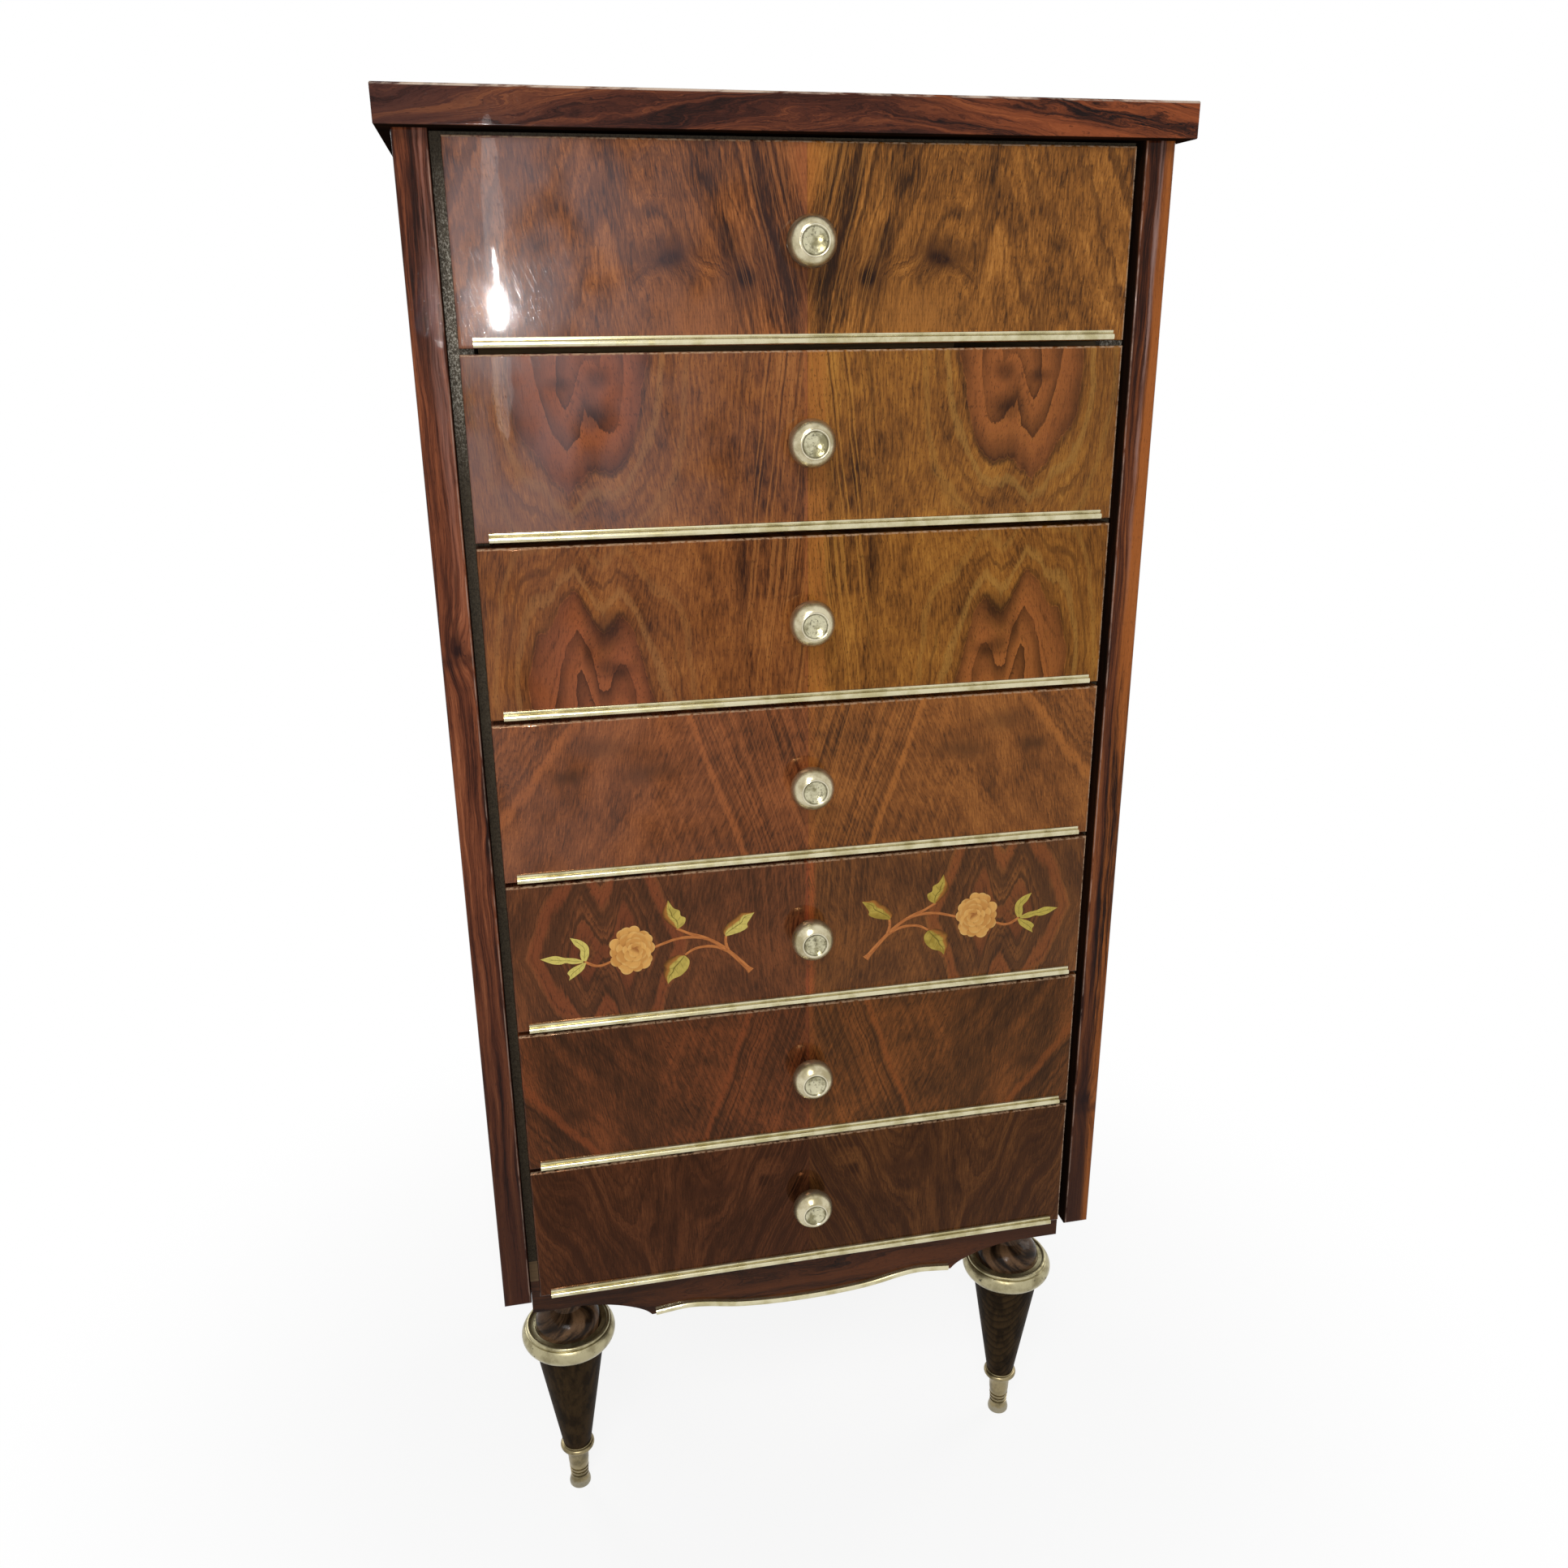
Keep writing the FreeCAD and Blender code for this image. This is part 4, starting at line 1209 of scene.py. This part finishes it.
# Finishes of the solids that stay as they are


def coat(node, material):
    nodes[node].data.materials.clear()
    nodes[node].data.materials.append(material)


def set_fronts():
    """A walnut front for every drawer; the marquetry ground is a whole board like its neighbours."""
    def hanging(f, across, up):
        return flame_figure(f, across, FRONT_TALL - up)

    def rising(f, across, up):
        return flame_figure(f, across, up + 4, deep=13, lean=0.4)

    def upturned(f, across, up):
        return arch_figure(f, across, FRONT_TALL - up, torn=5)

    # Painted shade: the tone sets grow darker from drawer 1 down to drawer 7, for the light falling off
    # towards the floor.
    brown = ((52, 31, 16), (99, 61, 27), (136, 85, 36), (162, 105, 46), (186, 126, 60))
    tawny = ((52, 29, 15), (95, 58, 25), (127, 79, 33), (148, 96, 39), (171, 117, 50))
    russet = ((44, 22, 12), (85, 47, 21), (117, 67, 29), (140, 84, 38), (163, 102, 47))
    dusky = ((34, 17, 10), (64, 34, 17), (88, 50, 24), (112, 66, 31), (134, 80, 38))
    umber = ((32, 16, 8), (58, 32, 15), (80, 46, 21), (106, 60, 27), (134, 76, 34))
    darkest_shaded = ((18, 10, 5), (36, 21, 10), (55, 33, 15), (75, 45, 21), (98, 62, 30))
    ink, bark, ember, amber = (44, 24, 13), (68, 39, 20), (158, 92, 46), (166, 100, 44)
    v_lines = ((-6, 2.2, ink, 0.6), (5, 2.6, ink, 0.8), (14, 1.6, ink, 0.6), (38, 2.6, ink, 0.6),
               (52, 2.4, bark, 0.5), (66, 2, bark, 0.5), (84, 2.4, bark, 0.5), (-34, 3, bark, 0.5))
    eyes_and_knob_shadow = ((44.5, 50, 32, 36, bark, 0.7), (99, 62, 42, 22, bark, 0.85),
            # the oval at (0, 38) is a painted shadow under the knob of drawer 1
            (0, 38, 17, 30, ink, 0.85), (0, 131, 16, 64, amber, 0.85),
            (88, 14, 58, 36, (160, 104, 48), 0.8), (44.5, 47, 11, 11, (30, 14, 10), 1.8),
            (99, 59, 13, 9, (40, 20, 12), 1.4))
    halo = ((64, 3.4, (158, 116, 56), 0.5), (74, 1.8, bark, 0.45), (84, 3, (150, 108, 50), 0.35))
    blots = ((155, 86, 20, 16, ink, 0.85), (153, 114, 14, 11, ink, 0.8),
             (181, 110, 14, 9, ink, 0.8))
    risen = ((153, 66, 22, 20, ink, 0.85), (151, 37, 24, 11, ink, 0.85),
             (171, 48, 6, 18, ink, 0.7))
    arches = ((91, 5, amber, 0.6), (100, 2, bark, 0.6), (112, 1.6, ink, 0.5), (126, 2.6, amber, 0.4),
              (136, 2.2, ink, 0.4))
    mottles = ((130, 84, 40, 13, bark, 0.7), (193, 84, 20, 10, ink, 0.8),
               (165, 108, 34, 16, bark, 0.6), (118, 108, 10, 20, amber, 0.4))
    # Painted shade: the arches of drawer 6 below are darker copies of those of drawer 4.
    shadow, smoke = (32, 16, 9), (46, 26, 14)
    low_arches = ((91, 5, (138, 74, 32), 0.7), (100, 2, smoke, 0.6), (112, 1.6, shadow, 0.4),
                  (126, 2.6, (126, 68, 30), 0.25), (136, 2.2, shadow, 0.4))
    low_mottles = ((150, 122, 40, 10, smoke, 0.6), (205, 48, 24, 12, shadow, 0.6))
    chevrons = ((60, 6, (134, 70, 33), 0.65), (47, 6.5, (38, 19, 12), 0.65), (68.5, 2.6, (44, 23, 13), 0.6),
                (26, 7, (126, 64, 31), 0.55), (33.5, 2.4, (34, 17, 11), 0.65), (10, 5, (58, 32, 19), 0.4),
                (80, 3, (60, 35, 19), 0.4))
    fans = ((62, 4.5, (22, 12, 7), 0.85), (98, 3.5, (22, 12, 7), 0.8), (150, 5, (26, 14, 8), 0.8),
            (30, 3.5, (22, 12, 7), 0.8), (122, 4, (94, 57, 27), 0.5), (196, 5, (24, 13, 8), 0.7))
    dots = ((42, 94, 9, 9, (12, 6, 4), 1.7), (92, 88, 30, 13, (26, 15, 9), 0.8),
            (24, 30, 16, 50, (26, 15, 9), 0.7), (210, 96, 16, 40, (28, 16, 10), 0.6))
    scuffed = (0.07, (1, 1, 1), 0.12)
    warm, hot = (1, 0.55, 0.3), (1, 0.34, 0.13)
    orange = (162, 100, 44)
    fronts = {
        1: (spreading_figure, brown, v_lines, eyes_and_knob_shadow, (3, 4, amber, 0.4), (-0.25, 0.4), 0.5, scuffed),
        2: (hanging, tawny, halo, blots, (2, 14, orange, 0.85), (0.12, 0.8), 0.42, scuffed, (54, ember)),
        3: (rising, tawny, halo, risen, (2, 14, orange, 0.85), (0.12, 0.8), 0.08, (0.16, warm), (54, ember)),
        4: (arch_figure, russet, arches, mottles, (2, 6, (152, 86, 38), 0.6), (-0.27, 0.45), 0.12,
            (0.45, warm)),
        5: (diamond_figure, dusky, chevrons, (), (2, 5, (154, 76, 36), 0.85), (-0.05, 0.5), 0, (0.45, warm)),
        6: (upturned, umber, low_arches, low_mottles, (2, 5, (128, 68, 32), 0.6), (0.3, 0.4), 0,
            (0.28, warm)),
        7: (fan_figure, darkest_shaded, fans, dots, (1, 2, (88, 50, 26), 0.4), (0.45, 0.6), 0, (0.36, hot)),
    }
    for number, recipe in fronts.items():
        material = walnut(number, *recipe)
        if number != MARQUETRY:
            coat(f"drawer_{number}_front", material)
            continue
        shape = bmesh.new()
        shape.from_mesh(nodes[f"drawer_{number - 1}_front"].data)
        drop = Matrix.Translation((0, 0, foot_of(number) - foot_of(number - 1)))
        bmesh.ops.transform(shape, matrix=drop, verts=shape.verts)
        name = f"marquetry_ground_of_drawer_{number}"
        dress(closed_mesh(name, shape, 20), name, f"drawer_{number}", material,
              [f"drawer_{number}_front"])


def coat_case():
    deep_red = ((26, 13, 11), (54, 26, 19), (82, 41, 27), (112, 60, 36), (146, 84, 48))
    brick_red = ((36, 16, 10), (68, 33, 20), (102, 53, 32), (130, 72, 44), (158, 94, 60))
    warm_red = ((28, 12, 8), (54, 26, 15), (86, 44, 24), (114, 62, 33), (142, 82, 43))
    coat("top_slab", rosewood("slab_rosewood", 0, 2, 1, deep_red, 31, bold=0.9, sweep=30,
                              glows=((20, 250, (164, 84, 43), 0.6), (-90, -290, (58, 38, 36), 0.6))))
    shut = box_mm("right_post")[0].x
    # Both posts carry a painted reflection, a pale stripe high on the face.
    coat("left_post", rosewood("left_post_rosewood", 2, 0, 1, brick_red, 48, knot=(-268.2, 888.5),
                               glows=((760, 300, (44, 24, 15), 0.75),), shut=shut,
                               painted_reflection=(-262, 8, (146, 108, 98), 0.45)))
    coat("right_post", rosewood("right_post_rosewood", 2, 0, 1, warm_red, 65, knot=(266.1, 422),
                                glows=((640, 300, (42, 22, 13), 0.7),),
                                sap=(264, 270, (172, 98, 42), 760), shut=shut,
                                painted_reflection=(269, 3, (164, 132, 122), 0.7)))
    side = rosewood("side_rosewood", 2, 1, 0, deep_red, 82, bold=0.85)
    for hand in ("left", "right"):
        coat(f"{hand}_side_panel", side)
    plain_brown = ((24, 13, 7), (43, 23, 12), (59, 32, 16), (77, 42, 21), (100, 55, 27))
    coat("apron", rosewood("apron_walnut", 0, 2, 1, plain_brown, 99, bold=0.6,
                           glows=((-230, -60, (112, 60, 30), 0.45), (120, 230, (58, 31, 16), 0.5))))
    front_edge = box_mm("left_inner_side")[0].y + 8
    case_wood = bare_wood("case_bare_wood", (150, 128, 96), (104, 84, 58), shaded_to=front_edge)
    inner = ("left_inner_side", "right_inner_side", "top_rails", "drawer_runners", "base_rails", "leg_blocks")
    for node in inner:
        coat(node, case_wood)
    coat("bottom_board", bare_wood("board_bare_wood", (122, 97, 69), (88, 69, 48)))
    coat("back_panel", bare_wood("back_plywood", (176, 146, 104), (134, 102, 64)))
    box_wood = bare_wood("drawer_bare_wood", (206, 176, 130), (166, 128, 84))
    for number in DRAWERS:
        coat(f"drawer_{number}_box", box_wood)


set_camera()
set_studio()
set_fronts()
coat_case()
trim_metal = brass("trim_brass", (214, 206, 172), (184, 174, 132), 0, 0.16)
mount_metal = brass("mount_brass", (178, 169, 134), (134, 124, 92), 1, 0.28)
foot_metal = brass("foot_brass", (150, 136, 102), (108, 97, 70), 0.5, 0.28)
plain_steel = steel()
coat("leg_studs", plain_steel)
set_trims(trim_metal)
set_legs(turned_oak(), mount_metal, foot_metal)
set_knobs(knob_brass(), plain_steel)
set_sprays(leaf_veneer(), stem_veneer())
set_flowers(flower_veneer())
